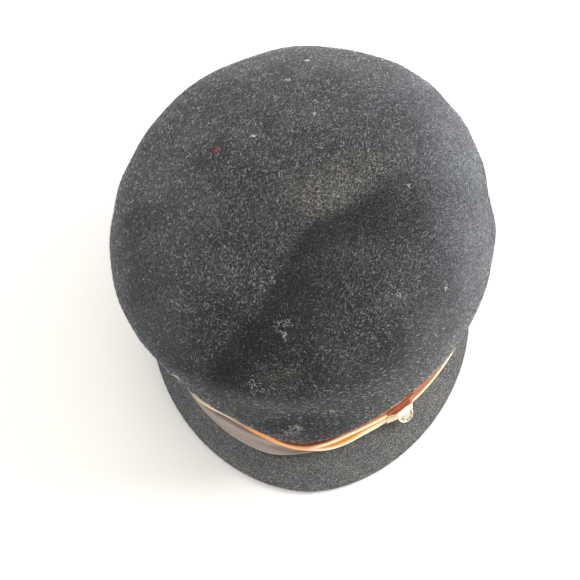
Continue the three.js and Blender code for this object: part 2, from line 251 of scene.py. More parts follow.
def crown_face(angle, along):
    """Oval at a place up the wall, lifted by the arch, then pushed towards the crown's middle by the
    hollows, the crease and the unevenness."""
    columns = [read_table(SECTION_PLACES, CROWN_SECTIONS[:, c], along) for c in range(7)]
    x, y = oval_point(*columns[1:], angle)
    z = columns[0] + arch_lift(angle) * (1 - ease(columns[0], 0, ARCH_FADE_HEIGHT))
    points = np.stack(np.broadcast_arrays(x, y, z), -1)
    inwards = CROWN_MIDDLE - points
    inwards /= np.linalg.norm(inwards, axis=-1, keepdims=True)
    depth = hollow_depth(points) + crease_depth(points) + unevenness(points)
    return points + inwards * depth[..., None]


def crown_point(angle, along, outwards):
    """Crown face moved along its own normal, which is the cross product of two short steps on it."""
    high = np.minimum(along + SHORT_STEP, WALL_LENGTH - SHORT_STEP)
    low = np.minimum(np.maximum(along - SHORT_STEP, 0), high - SHORT_STEP)
    on_level = np.minimum(along, high)
    step_up = crown_face(angle, high) - crown_face(angle, low)
    step_round = crown_face(angle + SHORT_STEP, on_level) - crown_face(angle - SHORT_STEP, on_level)
    normal = np.cross(step_round, step_up)
    normal /= np.linalg.norm(normal, axis=-1, keepdims=True)
    return crown_face(angle, along) + normal * np.asarray(outwards)[..., None]


top = crown_face(0.0, np.array(WALL_LENGTH))
print("top of the crown", top.round(1))

# %% [markdown]
# Every cloth piece below is a grid of points: rows one way, columns the other. One helper turns such a grid
# into faces, another puts points and faces into a Blender mesh with foreach_set, which is much quicker
# than adding vertices one by one. Numbers that a finish needs, such as how worn the pile is, are stored
# with the points as attributes.

# %% Grids into meshes


def grid_faces(rows, columns, join_rows, join_columns):
    """Quads between neighbouring rows, each seen from outside as here, next row, next row beside, beside."""
    i = np.arange(rows if join_rows else rows - 1)[:, None]
    j = np.arange(columns if join_columns else columns - 1)[None, :]
    beside, below = (j + 1) % columns, (i + 1) % rows
    quads = [i * columns + j, below * columns + j, below * columns + beside, i * columns + beside]
    return np.stack(np.broadcast_arrays(*quads), -1).reshape(-1, 4)


def close_ends(rows, columns):
    """Triangles from a grid's first and last row to the two single points that follow the grid."""
    here = np.arange(columns)
    beside, last = (here + 1) % columns, (rows - 1) * columns
    first_fan = np.stack([np.full(columns, rows * columns), here, beside], -1)
    last_fan = np.stack([np.full(columns, rows * columns + 1), last + beside, last + here], -1)
    return np.concatenate([first_fan, last_fan])


def make_piece(name, points, quads, triangles=(), attributes=None, smooth=True):
    """A mesh object from points in millimetres, its faces, and numbers kept with its points."""
    quads = np.asarray(quads, np.int32).reshape(-1, 4)
    triangles = np.asarray(triangles, np.int32).reshape(-1, 3)
    points = (np.asarray(points).reshape(-1, 3) + FOOTPRINT_SHIFT) * MM
    mesh = bpy.data.meshes.new(name)
    mesh.vertices.add(len(points))
    mesh.vertices.foreach_set("co", points.ravel())
    corners = np.concatenate([quads.ravel(), triangles.ravel()])
    sizes = np.concatenate([np.full(len(quads), 4), np.full(len(triangles), 3)])
    starts = np.concatenate([[0], np.cumsum(sizes)[:-1]])
    mesh.loops.add(len(corners))
    mesh.loops.foreach_set("vertex_index", corners.astype(np.int32))
    mesh.polygons.add(len(sizes))
    mesh.polygons.foreach_set("loop_start", starts.astype(np.int32))
    mesh.polygons.foreach_set("use_smooth", np.full(len(sizes), smooth))
    for key, values in (attributes or {}).items():
        mesh.attributes.new(key, "FLOAT", "POINT").data.foreach_set("value", np.ravel(values))
    mesh.update(calc_edges=True)
    mesh.validate()
    piece = bpy.data.objects.new(name, mesh)
    bpy.context.collection.objects.link(piece)
    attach(piece, "root")
    count = 2 * len(quads) + len(triangles)
    print(name, len(points), "points", count, "triangles")
    return piece


# %% [markdown]
# On the top of the crown the pile is painted warm and pale, partly for wear where hands have stroked and
# lifted the hat and partly as painted sunlight. Beyond the crease and in some hollows painted shade makes the
# pile almost black, where it lies away from the light. The sides and rims get a cool painted sheen with some
# dust, most of it on the right rim. All three could be painted on an image, but then the felt and its hairs
# would need one map each. So each is a function of the place, 0 where there is none, and the felt and every
# hair on it read the same value.

# %% Worn, deep and dusty places
# right, back, reach along, reach across, direction, strength
# wear and painted sunlight, warm and pale on the top of the crown
WORN_AND_LIT_PLACES = [
    (8.0, -14.0, 20.0, 13.0, 35.0, 0.55),
    (29.0, -1.0, 13.0, 7.0, 20.0, 0.6),
    (-13.0, -68.0, 12.0, 9.0, 40.0, 0.25),
    (-32.0, -86.0, 5.0, 4.0, 0.0, 0.5),
    (-8.0, -97.0, 9.0, 3.5, 10.0, 0.6),
    (-50.0, -20.0, 26.0, 20.0, 80.0, 0.15),
]
# painted shade in the hollows and where the pile lies away from the light
PAINTED_SHADE_PLACES = [
    (-30.0, -84.0, 38.0, 18.0, 18.0, 0.50),
    (-30.0, -27.0, 32.0, 17.0, 5.0, 0.30),
    (-70.0, -58.0, 14.0, 18.0, 60.0, 0.28),
    (12.0, -97.0, 14.0, 6.0, 0.0, 0.15),
    (34.0, -97.0, 12.0, 7.0, 0.0, 0.22),
    (50.0, -78.0, 14.0, 20.0, 0.0, 0.13),
    (76.0, -66.0, 14.0, 20.0, 0.0, 0.20),
    (-16.0, -22.0, 12.0, 9.0, 0.0, 0.20),
    (-50.0, -13.0, 10.0, 8.0, 0.0, 0.20),
    (24.0, -3.0, 6.0, 4.0, 40.0, 0.6),
    (-80.0, -30.0, 10.0, 18.0, 10.0, 0.3),
]
# more painted sheen with some dust
SHEEN_AND_DUST_PLACES = [
    (24.0, 34.0, 30.0, 15.0, 0.0, 0.22),
    (-62.0, -14.0, 14.0, 14.0, 0.0, 0.10),
]
WORN_AND_LIT_START, WORN_AND_LIT_FULL = 70, 95
SHADE_START, SHADE_FULL = 60, 90
SHADOW_EDGE, SHADOW_REACH = (-2, 5), 24.0          # across the crease
SHADOW_BACK, SHADOW_HALF_LENGTH = -52.0, 50.0      # along the hat
# how much, where it starts, where it is full: painted cool sheen with some dust at the right, on the right
# rim, at the back, at the left
RIGHT_SIDE_SHEEN_AND_DUST, RIGHT_RIM_SHEEN_AND_DUST, BACK_SHEEN_AND_DUST, LEFT_SHEEN_AND_DUST = (0.25, 25, 70), (0.66, 50, 84), (0.30, 20, 90), (0.32, 20, 90)
# the painted sheen fades at the rim's very edge, and is weak in front and stronger behind that
SHEEN_FADES_AT_EDGE, FRONT_SHEEN_AND_DUST, SHEEN_AND_DUST_BEHIND_FRONT = (0.35, 82, 96), 0.3, (0.7, -66, -24)


def bells(x, y, table):
    """Sum of exp(-(u/along)^2 - (v/across)^2) over the rows, u and v turned into each row's direction."""
    total = 0
    for right, back, reach_along, reach_across, runs, strength in table:
        c, s = np.cos(np.radians(runs)), np.sin(np.radians(runs))
        u, v = (x - right) * c + (y - back) * s, (y - back) * c - (x - right) * s
        total = total + strength * np.exp(-(u / reach_along) ** 2 - (v / reach_across) ** 2)
    return np.clip(total, 0, 1)


def worn_and_lit_at(points):
    """Wear and painted sunlight on the upper part of the crown."""
    return bells(points[..., 0], points[..., 1], WORN_AND_LIT_PLACES) * ease(points[..., 2], WORN_AND_LIT_START, WORN_AND_LIT_FULL)


def painted_shade_at(points):
    """Painted shade: sharp on the crease's own side, then fading over the hollow beyond it, with the other
    dark places where the pile lies away from the light.
    """
    x, y = points[..., 0], points[..., 1]
    distance = crease_distance(x, y)
    beyond = ease(distance, *SHADOW_EDGE) * np.exp(-(np.maximum(distance, 0) / SHADOW_REACH) ** 2)
    beyond = beyond * np.exp(-((y - SHADOW_BACK) / SHADOW_HALF_LENGTH) ** 4)
    return np.clip(beyond + bells(x, y, PAINTED_SHADE_PLACES), 0, 1) * ease(points[..., 2], SHADE_START, SHADE_FULL)


def rising(rise, value):
    """An amount times the ease from its start to where it is full, from one of the triples above."""
    amount, start, full = rise
    return amount * ease(value, start, full)


def dust_and_sheen_at(points):
    """Painted cool sheen with some dust on the sides and rims, most of it on the rim at the right."""
    x, y = points[..., 0], points[..., 1]
    rim = rising(RIGHT_RIM_SHEEN_AND_DUST, x) * (1 - rising(SHEEN_FADES_AT_EDGE, x)) * (FRONT_SHEEN_AND_DUST + rising(SHEEN_AND_DUST_BEHIND_FRONT, y))
    sides = rising(RIGHT_SIDE_SHEEN_AND_DUST, x) + rim + rising(BACK_SHEEN_AND_DUST, y) + rising(LEFT_SHEEN_AND_DUST, -x)
    return sides + bells(x, y, SHEEN_AND_DUST_PLACES)


print("worn, deep and dusty at the top", *(round(float(at(top)), 2) for at in (worn_and_lit_at, painted_shade_at, dust_and_sheen_at)))

# %% [markdown]
# The crown is one felt wall. It could be a thin surface with a Solidify modifier, but that would tip the
# lower edge, on which the hat rests. So it is one closed skin here: down the outside from the top, across
# the edge, which is cut level, and up the inside.

# %% The crown's felt
AROUND, DOWN, EDGE, INSIDE = 288, 150, 5, 40

angles = np.arange(AROUND) * 360 / AROUND
down = np.linspace(WALL_LENGTH, 0, DOWN + 1)[1:, None]
outer = crown_point(angles[None], down + 0 * angles, np.zeros((DOWN, AROUND)))
edge_turn = np.linspace(0, np.pi, EDGE + 2)[1:-1, None]
edge_out = crown_point(angles, np.zeros(AROUND), np.zeros(AROUND))
edge_in = crown_point(angles, np.zeros(AROUND), np.full(AROUND, -FELT))
edge_in[:, 2] = edge_out[:, 2]
middle = (edge_out + edge_in) / 2
edge = middle + (edge_out - middle) * np.cos(edge_turn)[..., None]
edge[..., 2] = edge_out[:, 2]
inside_up = np.linspace(0, WALL_LENGTH, INSIDE + 1)[:-1, None]
inner = crown_point(angles[None], inside_up + 0 * angles, np.full((INSIDE, AROUND), -FELT))
inner[0] = edge_in
rows = np.concatenate([outer, edge, inner])
points = np.concatenate([rows.reshape(-1, 3), [top, top - [0, 0, FELT]]])
outside = np.concatenate([np.ones((DOWN + EDGE) * AROUND), np.zeros(INSIDE * AROUND), [1, 0]])
# kept with the points: wear with painted sunlight, painted shade, and painted sheen with some dust
crown_felt = make_piece(
    "crown_felt", points, grid_faces(len(rows), AROUND, False, True), close_ends(len(rows), AROUND),
    {"worn_and_lit": worn_and_lit_at(points) * outside, "deep": painted_shade_at(points) * outside, "dust_and_sheen": dust_and_sheen_at(points) * outside},
)
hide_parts("crown")

# %% [markdown]
# The peak is a flat piece of the same felt. A short tongue of it goes up inside the crown, where it is sewn,
# and from there it runs level under the crown's edge and then falls to the floor. A bent plane could follow
# its outline, but not the sewn root. So every section across it is a line of its own: up the tongue, round
# the corner and out, with half the thickness on either side and a half round at the front.

# %% The peak's sections
PEAK_EDGE = (91.5, 106.0, 0.0, -17.0, 0.0, 1.85)   # as a row of the crown's table, without the height
PEAK_EDGE_ANGLES, PEAK_ROOT_ANGLES = (193.0, 361.0), (208.0, 365.0)
PEAK_TONGUE, PEAK_START, PEAK_FLAT, PEAK_DROOP, PEAK_END_RISE = 9.0, 0.16, 0.32, 1.25, 6
ALONG_THE_PEAK, OUT_THE_PEAK, PEAK_ROUNDING = 220, 26, 7


def peak_sections(shares):
    """Middle line of each section: up the tongue, round the corner, then out to the edge, where it falls by
    the power of the share that is past the level part."""
    root = np.interp(shares, [0, 1], PEAK_ROOT_ANGLES)
    rim = np.interp(shares, [0, 1], PEAK_EDGE_ANGLES)
    half = PEAK_FELT / 2
    inset = np.full(shares.shape, -(FELT + GAP + half))
    tongue = crown_point(root, along_at(PEAK_TONGUE) + 0 * root, inset)
    corner = crown_point(root, 0 * root, inset)
    corner[:, 2] = arch_lift(root) - GAP - half
    edge_x, edge_y = oval_point(*PEAK_EDGE, rim)
    edge_z = half + (corner[:, 2] - half) * np.abs(2 * shares - 1) ** PEAK_END_RISE
    rim_point = np.stack([edge_x, edge_y, edge_z], -1)
    out = (rim_point - corner) * [1, 1, 0]
    out /= np.linalg.norm(out, axis=-1, keepdims=True)
    rim_point -= out * half
    step = np.linspace(PEAK_START, 1, OUT_THE_PEAK)[None, :, None]
    flat = corner[:, None] + (rim_point - corner)[:, None] * step
    fallen = (np.maximum(step[..., 0] - PEAK_FLAT, 0) / (1 - PEAK_FLAT)) ** PEAK_DROOP
    flat[..., 2] = corner[:, 2:] + (rim_point - corner)[:, 2:] * fallen
    return np.concatenate([tongue[:, None], corner[:, None], flat], 1), out


def peak_skin(shares):
    """Both faces of the felt, offset from the middle line with mitred corners, and the rounded edge."""
    line, out = peak_sections(shares)
    half = PEAK_FELT / 2
    way = np.diff(line, axis=1)
    slope = np.arctan2(way[..., 2], (way * out[:, None]).sum(-1))
    before = np.concatenate([slope[:, :1], slope], 1)
    after = np.concatenate([slope, slope[:, -1:]], 1)
    lean = (before + after) / 2
    reach = half / np.cos((after - before) / 2)
    across_felt = np.cos(lean)[..., None] * [0, 0, 1] - np.sin(lean)[..., None] * out[:, None]
    upper = line + across_felt * reach[..., None]
    lower = line - across_felt * reach[..., None]
    turn = np.linspace(0, np.pi, PEAK_ROUNDING + 2)[1:-1]
    tip = line[:, -1:] + out[:, None] * half * np.sin(turn)[:, None]
    tip = tip + across_felt[:, -1:] * half * np.cos(turn)[:, None]
    return np.concatenate([upper, tip, lower[:, ::-1]], 1)


# %% The peak's felt
# the peak is painted paler for the light on its upper face and the sheen at its edge, with some wear and dust
PEAK_WORN_AND_LIT, RIM_WORN_AND_LIT, PEAK_SHEEN_AND_DUST, PEAK_EDGE_SHEEN_AND_DUST = 0.75, 0.2, 1.2, 0.1
RIM_FROM = 0.8   # share of the way out

skin = peak_skin(np.linspace(0, 1, ALONG_THE_PEAK))
length = skin.shape[1]
mid, last_section = length // 2, (ALONG_THE_PEAK - 1) * length
i = np.arange(mid - 1)
opposite = length - 1 - i
# the cut ends of the felt, at the first and the last section: quads across it, and a triangle at the edge
flat_ends = np.concatenate([
    np.stack([i, opposite, opposite - 1, i + 1], -1),
    np.stack([i, i + 1, opposite - 1, opposite], -1) + last_section,
])
tips = np.array([(mid - 1, mid + 1, mid), (mid - 1, mid, mid + 1)])
tips[1] += last_section
out_share = np.concatenate([np.zeros(2), np.linspace(PEAK_START, 1, OUT_THE_PEAK)])
section_rim = np.concatenate([out_share, np.ones(PEAK_ROUNDING), out_share[::-1]])
rim = ease(section_rim, RIM_FROM, 1.0)[None] + np.zeros((ALONG_THE_PEAK, 1))
peak_quads = grid_faces(ALONG_THE_PEAK, length, False, True)[:, ::-1]
peak_felt = make_piece(
    "peak_felt", skin, np.concatenate([peak_quads, flat_ends]), tips,
    {"worn_and_lit": PEAK_WORN_AND_LIT + RIM_WORN_AND_LIT * rim, "deep": 0 * rim, "dust_and_sheen": PEAK_SHEEN_AND_DUST + PEAK_EDGE_SHEEN_AND_DUST * rim},
)
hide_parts("peak")

# %% [markdown]
# The band is two satin ribbons. The lower one is plain taupe and lies flat but for a soft lengthwise fold.
# The upper one is laid in three pleats, which are real ridges here, because satin shows every ridge as a
# bright line. A cloth simulation would lay them anew at each run, and the pleats of this hat are pressed in.
# So they are tables: where the lower edge, the ridges and the colours lie at each turn round the crown.

# %% Lines along the ribbons
BAND_LOW, UNDER_HIGH, OVER_HIGH = 0.2, 27.0, 28.0

# degrees from the front, height of the upper ribbon's lower edge
OVER_EDGE = np.array([
    (-180.0, 9.0), (-110.0, 9.0), (-60.0, 7.2), (-46.0, 6.6), (-42.0, 6.8), (-38.0, 9.0), (-34.0, 12.1),
    (-30.0, 15.2), (-22.0, 16.8), (-14.0, 14.6), (-6.0, 9.2), (2.0, 4.6), (6.0, 2.4), (10.0, 1.2),
    (14.0, 0.9), (23.0, 1.8), (32.0, 0.2), (70.0, 0.2), (120.0, 6.0), (180.0, 9.0),
])
# degrees from the front, then the heights of the low ridge, the crease, the high ridge and the red part
OVER_LINES = np.array([
    (-180.0, 12.0, 12.3, 12.6, 14.5), (-60.0, 8.6, 9.8, 12.0, 22.0), (-46.0, 7.8, 9.2, 11.4, 21.0),
    (-42.0, 8.0, 10.2, 13.0, 22.0), (-38.0, 10.2, 12.6, 15.0, 24.0), (-34.0, 13.4, 15.6, 18.0, 25.0),
    (-30.0, 17.4, 19.4, 21.5, 27.0), (-22.0, 22.0, 23.5, 25.0, 27.5), (-16.0, 20.5, 21.8, 23.0, 26.0),
    (-10.0, 14.8, 15.6, 16.4, 17.4), (-6.0, 11.4, 11.8, 12.2, 13.3), (-2.0, 8.6, 8.8, 9.0, 10.6),
    (2.0, 6.1, 6.9, 7.6, 9.2), (6.0, 3.5, 5.6, 7.9, 9.3), (10.0, 2.4, 4.8, 8.8, 10.4),
    (14.0, 2.6, 6.0, 9.8, 11.3), (20.0, 3.9, 7.1, 9.6, 11.1), (26.0, 3.4, 6.4, 8.4, 10.2),
    (34.0, 3.2, 4.2, 4.8, 6.3), (40.0, 2.4, 2.5, 2.6, 4.0), (48.0, 1.6, 1.7, 1.8, 3.3),
    (60.0, 2.4, 2.6, 2.8, 4.4), (120.0, 9.0, 9.3, 9.6, 11.5), (180.0, 12.0, 12.3, 12.6, 14.5),
])
# degrees from the front, height above which the lower ribbon is folded back, and of its shallow dip
UNDER_FOLDS = np.array([
    (-180.0, 16.0, 12.0), (-60.0, 5.0, 11.0), (-42.0, 5.0, 10.0), (-34.0, 7.2, 9.0), (-26.0, 10.5, 8.0),
    (-18.0, 12.0, 7.5), (-10.0, 12.5, 6.6), (-2.0, 14.0, 2.4), (30.0, 20.0, 8.0), (180.0, 16.0, 12.0),
])

print("the upper ribbon's lower edge lies", OVER_EDGE[:, 1].min(), "to", OVER_EDGE[:, 1].max(), "mm up")

# %% [markdown]
# Each ribbon is a closed strip round the crown: its outside, its two edges and its inside. Both are laid by
# the same function, and only their thickness and their marks differ, so those are handed in as functions.

# %% Laying a ribbon
RIBBON_AROUND, OUTSIDE_ROWS, INSIDE_ROWS = 440, 54, 8

ribbon_angles = np.arange(RIBBON_AROUND) * 360 / RIBBON_AROUND
front_angles = from_front(ribbon_angles)


def line_heights(table, first, last):
    """Lines along a ribbon, from one column of its table to another: heights at the ribbon's angles."""
    columns = range(first, last + 1)
    return [read_table(table[:, 0], table[:, column], front_angles)[None] for column in columns]


def past(start, full):
    """Goes from 0 to 1 between two places round the crown, in degrees from the front."""
    return ease(front_angles, start, full)[None]


def bell(value, middle, reach):
    """exp(-((value - middle) / reach) squared)."""
    return np.exp(-((value - middle) / reach) ** 2)


def ribbon_edges(share, reach):
    """1 at the two edges of a ribbon, 0 between them, to thin it there as a woven edge is."""
    return bell(share, 0, reach) + bell(share, 1, reach)


def make_ribbon(name, low, high, clearance, thickness_at, marks_at):
    """Strip round the crown from its lower to its upper edge: the outside is its clearance plus a thickness
    that depends on the height, the inside its clearance alone."""

    def lay(rows_up):
        share = np.linspace(0, 1, rows_up)[:, None] + 0 * ribbon_angles
        height = low + (high - low) * share
        return share, height, ribbon_angles[None] + 0 * share

    share, height, angle = lay(OUTSIDE_ROWS)
    outer_face = crown_point(angle, along_at(height), clearance + thickness_at(share, height))
    marks = marks_at(height)
    share, height, angle = lay(INSIDE_ROWS)
    inner_face = crown_point(angle, along_at(height), np.full(share.shape, clearance))
    strip = np.concatenate([outer_face[::-1], inner_face])
    values = {key: np.concatenate([v[::-1], 0 * inner_face[..., 0] + v.mean()]) for key, v in marks.items()}
    return make_piece(name, strip, grid_faces(len(strip), RIBBON_AROUND, True, True), (), values)


# %% [markdown]
# The taupe ribbon is folded back above a soft line, which leaves it thinner there. Painted shade darkens it
# above that line, under the crown's overhang, and in a shallow dip that runs along it in front. The crest
# below the fold and the lower edge get a painted highlight. A ripple of a twentieth of a millimetre shows
# that it was sewn by hand.

# %% The lower ribbon
UNDER_THIN, UNDER_EDGE_THIN = 0.06, 0.5
# how far the ribbon sinks above the fold, and the painted highlight on the crest below it
FOLD_DEPTH, FOLD_CREST_HIGHLIGHT = 0.4, 0.25
DIP_DEPTH, DIP_REACH, DIP_STARTS, DIP_ENDS = 0.28, 2.4, (-22, -10), (2, 8)   # degrees from the front
RIPPLE_HEIGHT, RIPPLES, FINE_LINES = 0.05, 23, 0.14
# painted highlight on the lower edge all round, and more of it in front: degrees from the front and reach
LOWER_EDGE_HIGHLIGHT, FRONT_EDGE_HIGHLIGHT, FRONT_HIGHLIGHT_AT = 0.15, 0.5, (-6, 16)


def under_thickness(share, height):
    """Plain thickness, less above the fold and in the dip, with a slight ripple from hand sewing."""
    fold, dip = line_heights(UNDER_FOLDS, 1, 2)
    folded = FOLD_DEPTH * ease(height - fold, -0.6, 0.6) * (1 - ease(height - fold, 4, 10))
    ripple = RIPPLE_HEIGHT * np.sin(np.radians(ribbon_angles) * RIPPLES + height * 0.3)
    thickness = RIBBON - UNDER_THIN - folded - DIP_DEPTH * bell(height, dip, DIP_REACH) + ripple
    return thickness - UNDER_EDGE_THIN * ribbon_edges(share, 0.02)


def under_marks(height):
    """Painted highlight just below the fold, painted shade above it and in the dip, fine lengthwise lines,
    and a painted highlight on the lower edge.
    """
    fold, dip = line_heights(UNDER_FOLDS, 1, 2)
    crest_highlight = FOLD_CREST_HIGHLIGHT * bell(height, fold - 2.4, 2.0)
    fine = FINE_LINES * np.sin(height * 5.1 + 2 * np.sin(np.radians(ribbon_angles) * 9)[None])
    edge_highlight = LOWER_EDGE_HIGHLIGHT + FRONT_EDGE_HIGHLIGHT * bell(front_angles, *FRONT_HIGHLIGHT_AT)[None]
    return {
        "pale": crest_highlight + fine + edge_highlight * bell(height, 1.3, 0.8),
        "fold": ease(height - fold, -1.4, 1.0),
        "dip": bell(height, dip, 2.2) * past(*DIP_STARTS) * (1 - past(*DIP_ENDS)),
    }


ribbon_under = make_ribbon("ribbon_under", BAND_LOW, UNDER_HIGH, GAP, under_thickness, under_marks)
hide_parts("band_under")

# %% [markdown]
# The upper ribbon is striped silk, and its stripes are partly its own colours and partly painted light. The
# cream on the ridges and the lower edge is partly a painted highlight, and the gold in the crease and the
# dark red under the crown's overhang are partly painted shade. The stripes could be a picture laid on it, but
# they swing with the pleats, so they are worked out from the same lines as the ridges. Each stripe is a
# number from 0 to 1 that is kept with the points, and its finish mixes one colour in by it.

# %% The upper ribbon
PLEAT_DEPTH, OVER_EDGE_THIN = 0.7, 0.6
# how far up and down a ridge or crease reaches; the third pleat lies above the red line and is less deep
LOW_RIDGE, HIGH_RIDGE, PRESSED_LINE, PRESSED_SHARE = 1.7, 1.6, 0.9, 0.8
RED_PLEAT, RED_PLEAT_SHARE, RED_PLEAT_UP = 2.4, 0.8, 4.5
# degrees from the front over which each part of the pattern comes in or goes
LEFT_COMES, LEFT_GOES, FRONT_COMES, STRIPES_COME = (-44, -34), (-23, -17), (-15, -9), (-1, 6)
RIGHT_COMES, WIDE_COMES, GOLD_GOES, WIDE_GOES = (5, 20), (14, 24), (24, 31), (34, 42)
BEHIND_COMES = (120, 170)


def over_thickness(share, height):
    """Ridges along the low and the high line, a crease between them, and a third pleat in the red part."""
    low, crease, high, red = line_heights(OVER_LINES, 1, 4)
    in_red = RED_PLEAT_SHARE * bell(height, red + RED_PLEAT_UP, RED_PLEAT)
    ridges = bell(height, low, LOW_RIDGE) + bell(height, high, HIGH_RIDGE) + in_red
    pressed = PRESSED_SHARE * bell(height, crease, PRESSED_LINE) * ease(high - low, 2, 5)
    ridges = np.minimum(ridges, 1) * (1 - pressed)
    return RIBBON + PLEAT_DEPTH * ridges - OVER_EDGE_THIN * ribbon_edges(share, 0.015)


def over_marks(height):
    """Stripes along the lines, partly the silk's own and partly painted light: at the left tan with a cream
    line, in front orange under dark red, at the right cream on both ridges with gold between them and
    terracotta above, and so it goes on behind. Cream on a ridge is partly a painted highlight, and gold in
    the crease and dark red under the overhang are partly painted shade."""
    low, crease, high, red = line_heights(OVER_LINES, 1, 4)
    behind = ease(np.abs(front_angles), *BEHIND_COMES)[None]
    at_left = (1 - past(*LEFT_GOES)) * (1 - behind)
    to_front, striped, to_right, past_gold = (
        np.maximum(past(*start), behind) for start in (FRONT_COMES, STRIPES_COME, RIGHT_COMES, GOLD_GOES)
    )
    wide = past(*WIDE_COMES) * (1 - past(*WIDE_GOES))
    # cream on the two ridges: partly the silk's stripe and partly a painted highlight
    low_cream = bell(height, low, 1.15 + 0.75 * wide) * striped
    high_cream = bell(height, high, 1.1) * striped
    left_cream = (0.45 + 0.35 * past(*LEFT_COMES)) * bell(height, low, 1.5) * at_left
    highlight = 0.35 * bell(height, low, 0.9) * (1 - striped) * to_front
    return {
        "cream": np.clip(1.15 * (low_cream + high_cream) + left_cream + highlight, 0, 1),
        # gold in the crease: partly the silk's stripe and partly painted shade
        "gold": bell(height, crease, 1.3) * striped * (1 - past_gold),
        # the red part: partly the silk's stripe and partly painted shade under the crown's overhang
        "red": ease(height - red, -0.8, 0.8) * np.maximum(to_front, 0.15),
        "right": to_right + 0 * height,
        "tan": 0.85 * at_left + 0 * height,
    }


(over_low,) = line_heights(OVER_EDGE, 1, 1)
over_clearance = GAP + RIBBON + GAP
ribbon_over = make_ribbon("ribbon_over", over_low, OVER_HIGH, over_clearance, over_thickness, over_marks)
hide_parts("band_over")

# %% [markdown]
# A sheet of cloth also has a size when it lies flat. Both ribbons are as long as the crown's foot is round,
# with a little over. The upper one is narrower where it is drawn up, so its area is worked out from its mean
# width.

RIM_GIRTH = 0.6
over_width = (OVER_HIGH - over_low).mean() * MM
float(over_width * RIM_GIRTH)
print("upper ribbon's mean width", round(over_width / MM, 1), "mm")

# %% [markdown]
# The button is turned metal: a low dome inside a thick rolled rim. A Spin of a drawn outline would make it
# too. As numbers it is just as short: a turned thing is one profile carried round an axis, so its grid is
# the profile one way and the angle the other.

# %% The button's profile
BUTTON_RADIUS, ROLL_RADIUS, DOME_HEIGHT, BACK_PLATE = 5.0, 0.9, 2.2, 1.6
SHANK_RADIUS, SHANK_LENGTH, SHANK_FLARE = 1.3, 1.6, 0.4
ROLL_ARC, DOME_ARC = (-90, 150), (14, 84)
DIMPLE_DEPTH, DIMPLE_REACH = 0.35, 22   # the reach is in degrees down from the dome's top

shank_back = -BACK_PLATE - SHANK_LENGTH
roll_middle = BUTTON_RADIUS - ROLL_RADIUS
dome_radius = roll_middle - ROLL_RADIUS
roll = np.radians(np.linspace(*ROLL_ARC, 22))
dome = np.radians(np.linspace(*DOME_ARC, 18))
dimple = DIMPLE_DEPTH * np.exp(-((np.degrees(dome) - 90) / DIMPLE_REACH) ** 2)
# distance from the axis, distance in front of the middle of the rolled rim
profile = np.concatenate([
    [(SHANK_RADIUS * 0.5, shank_back), (SHANK_RADIUS, shank_back), (SHANK_RADIUS, -BACK_PLATE)],
    [(SHANK_RADIUS + SHANK_FLARE, -BACK_PLATE), (roll_middle, -BACK_PLATE)],
    np.stack([roll_middle + ROLL_RADIUS * np.cos(roll), ROLL_RADIUS * np.sin(roll)], -1),
    np.stack([dome_radius * np.cos(dome), DOME_HEIGHT * np.sin(dome) - dimple], -1),
])
print("the button's profile has", len(profile), "points and is", 2 * profile[:, 0].max().round(2), "mm wide")

# %% [markdown]
# It hangs on a short shank in front of the band and is tipped up, which is why it shows its face to someone
# who looks down on the hat. Its own axis and two directions across it are worked out from the crown's face,
# and they serve the ribbon's end as well.

# %% The button in its place
BUTTON_ANGLE, BUTTON_HEIGHT, BUTTON_TILT = 34.1, 5.6, 38.0
BUTTON_SIDES = 96
# painted shade: a dark gold crescent inside the rolled rim, low and a little to the right, and scallops make
# it paler at equal steps
SHADED_CRESCENT_MIDDLE, SHADED_CRESCENT_EDGE, SCALLOPS, SCALLOP_DEPTH = np.radians(-78.0), (-0.2, 0.4), 11, 0.3

seat_angle = np.array(angle_at(BUTTON_ANGLE))
seat_along = np.array(along_at(BUTTON_HEIGHT))
band_face = over_clearance + RIBBON + PLEAT_DEPTH
seat = crown_point(seat_angle, seat_along, band_face + GAP)
button_out = crown_point(seat_angle, seat_along, 1.0) - crown_point(seat_angle, seat_along, 0.0)
button_out = button_out * [1, 1, 0] / np.linalg.norm(button_out[:2])
tilt = np.radians(BUTTON_TILT)
axis = button_out * np.cos(tilt) + np.array([0, 0, np.sin(tilt)])
reach = (BACK_PLATE + SHANK_LENGTH) * np.cos(tilt) + SHANK_RADIUS * np.sin(tilt)
button_middle = seat + button_out * reach
side = np.cross([0, 0, 1], axis)
side /= np.linalg.norm(side)
other = np.cross(axis, side)
spin = np.radians(np.arange(BUTTON_SIDES) * 360 / BUTTON_SIDES)
ring = side * np.cos(spin)[:, None] + other * np.sin(spin)[:, None]
turned = button_middle + profile[:, :1, None] * ring + profile[:, 1:, None] * axis
ends = [button_middle + axis * shank_back, button_middle + axis * profile[-1, 1]]
depth_in = np.concatenate([np.repeat(profile[:, 0] / BUTTON_RADIUS, BUTTON_SIDES), [0, 0]])
scallops = 1 - SCALLOP_DEPTH + SCALLOP_DEPTH * np.cos(SCALLOPS * spin)
# painted shade on one side of the groove
tarnish_and_shade = ease(np.cos(spin - SHADED_CRESCENT_MIDDLE), *SHADED_CRESCENT_EDGE) * scallops
tarnish_and_shade = np.concatenate([np.tile(tarnish_and_shade, len(profile)), [0, 0]])
button = make_piece(
    "button_turned", np.concatenate([turned.reshape(-1, 3), ends]),
    grid_faces(len(profile), BUTTON_SIDES, False, True)[:, ::-1],
    close_ends(len(profile), BUTTON_SIDES)[:, [0, 2, 1]], {"outwards": depth_in, "tarnish_and_shade": tarnish_and_shade},
)
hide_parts("button")

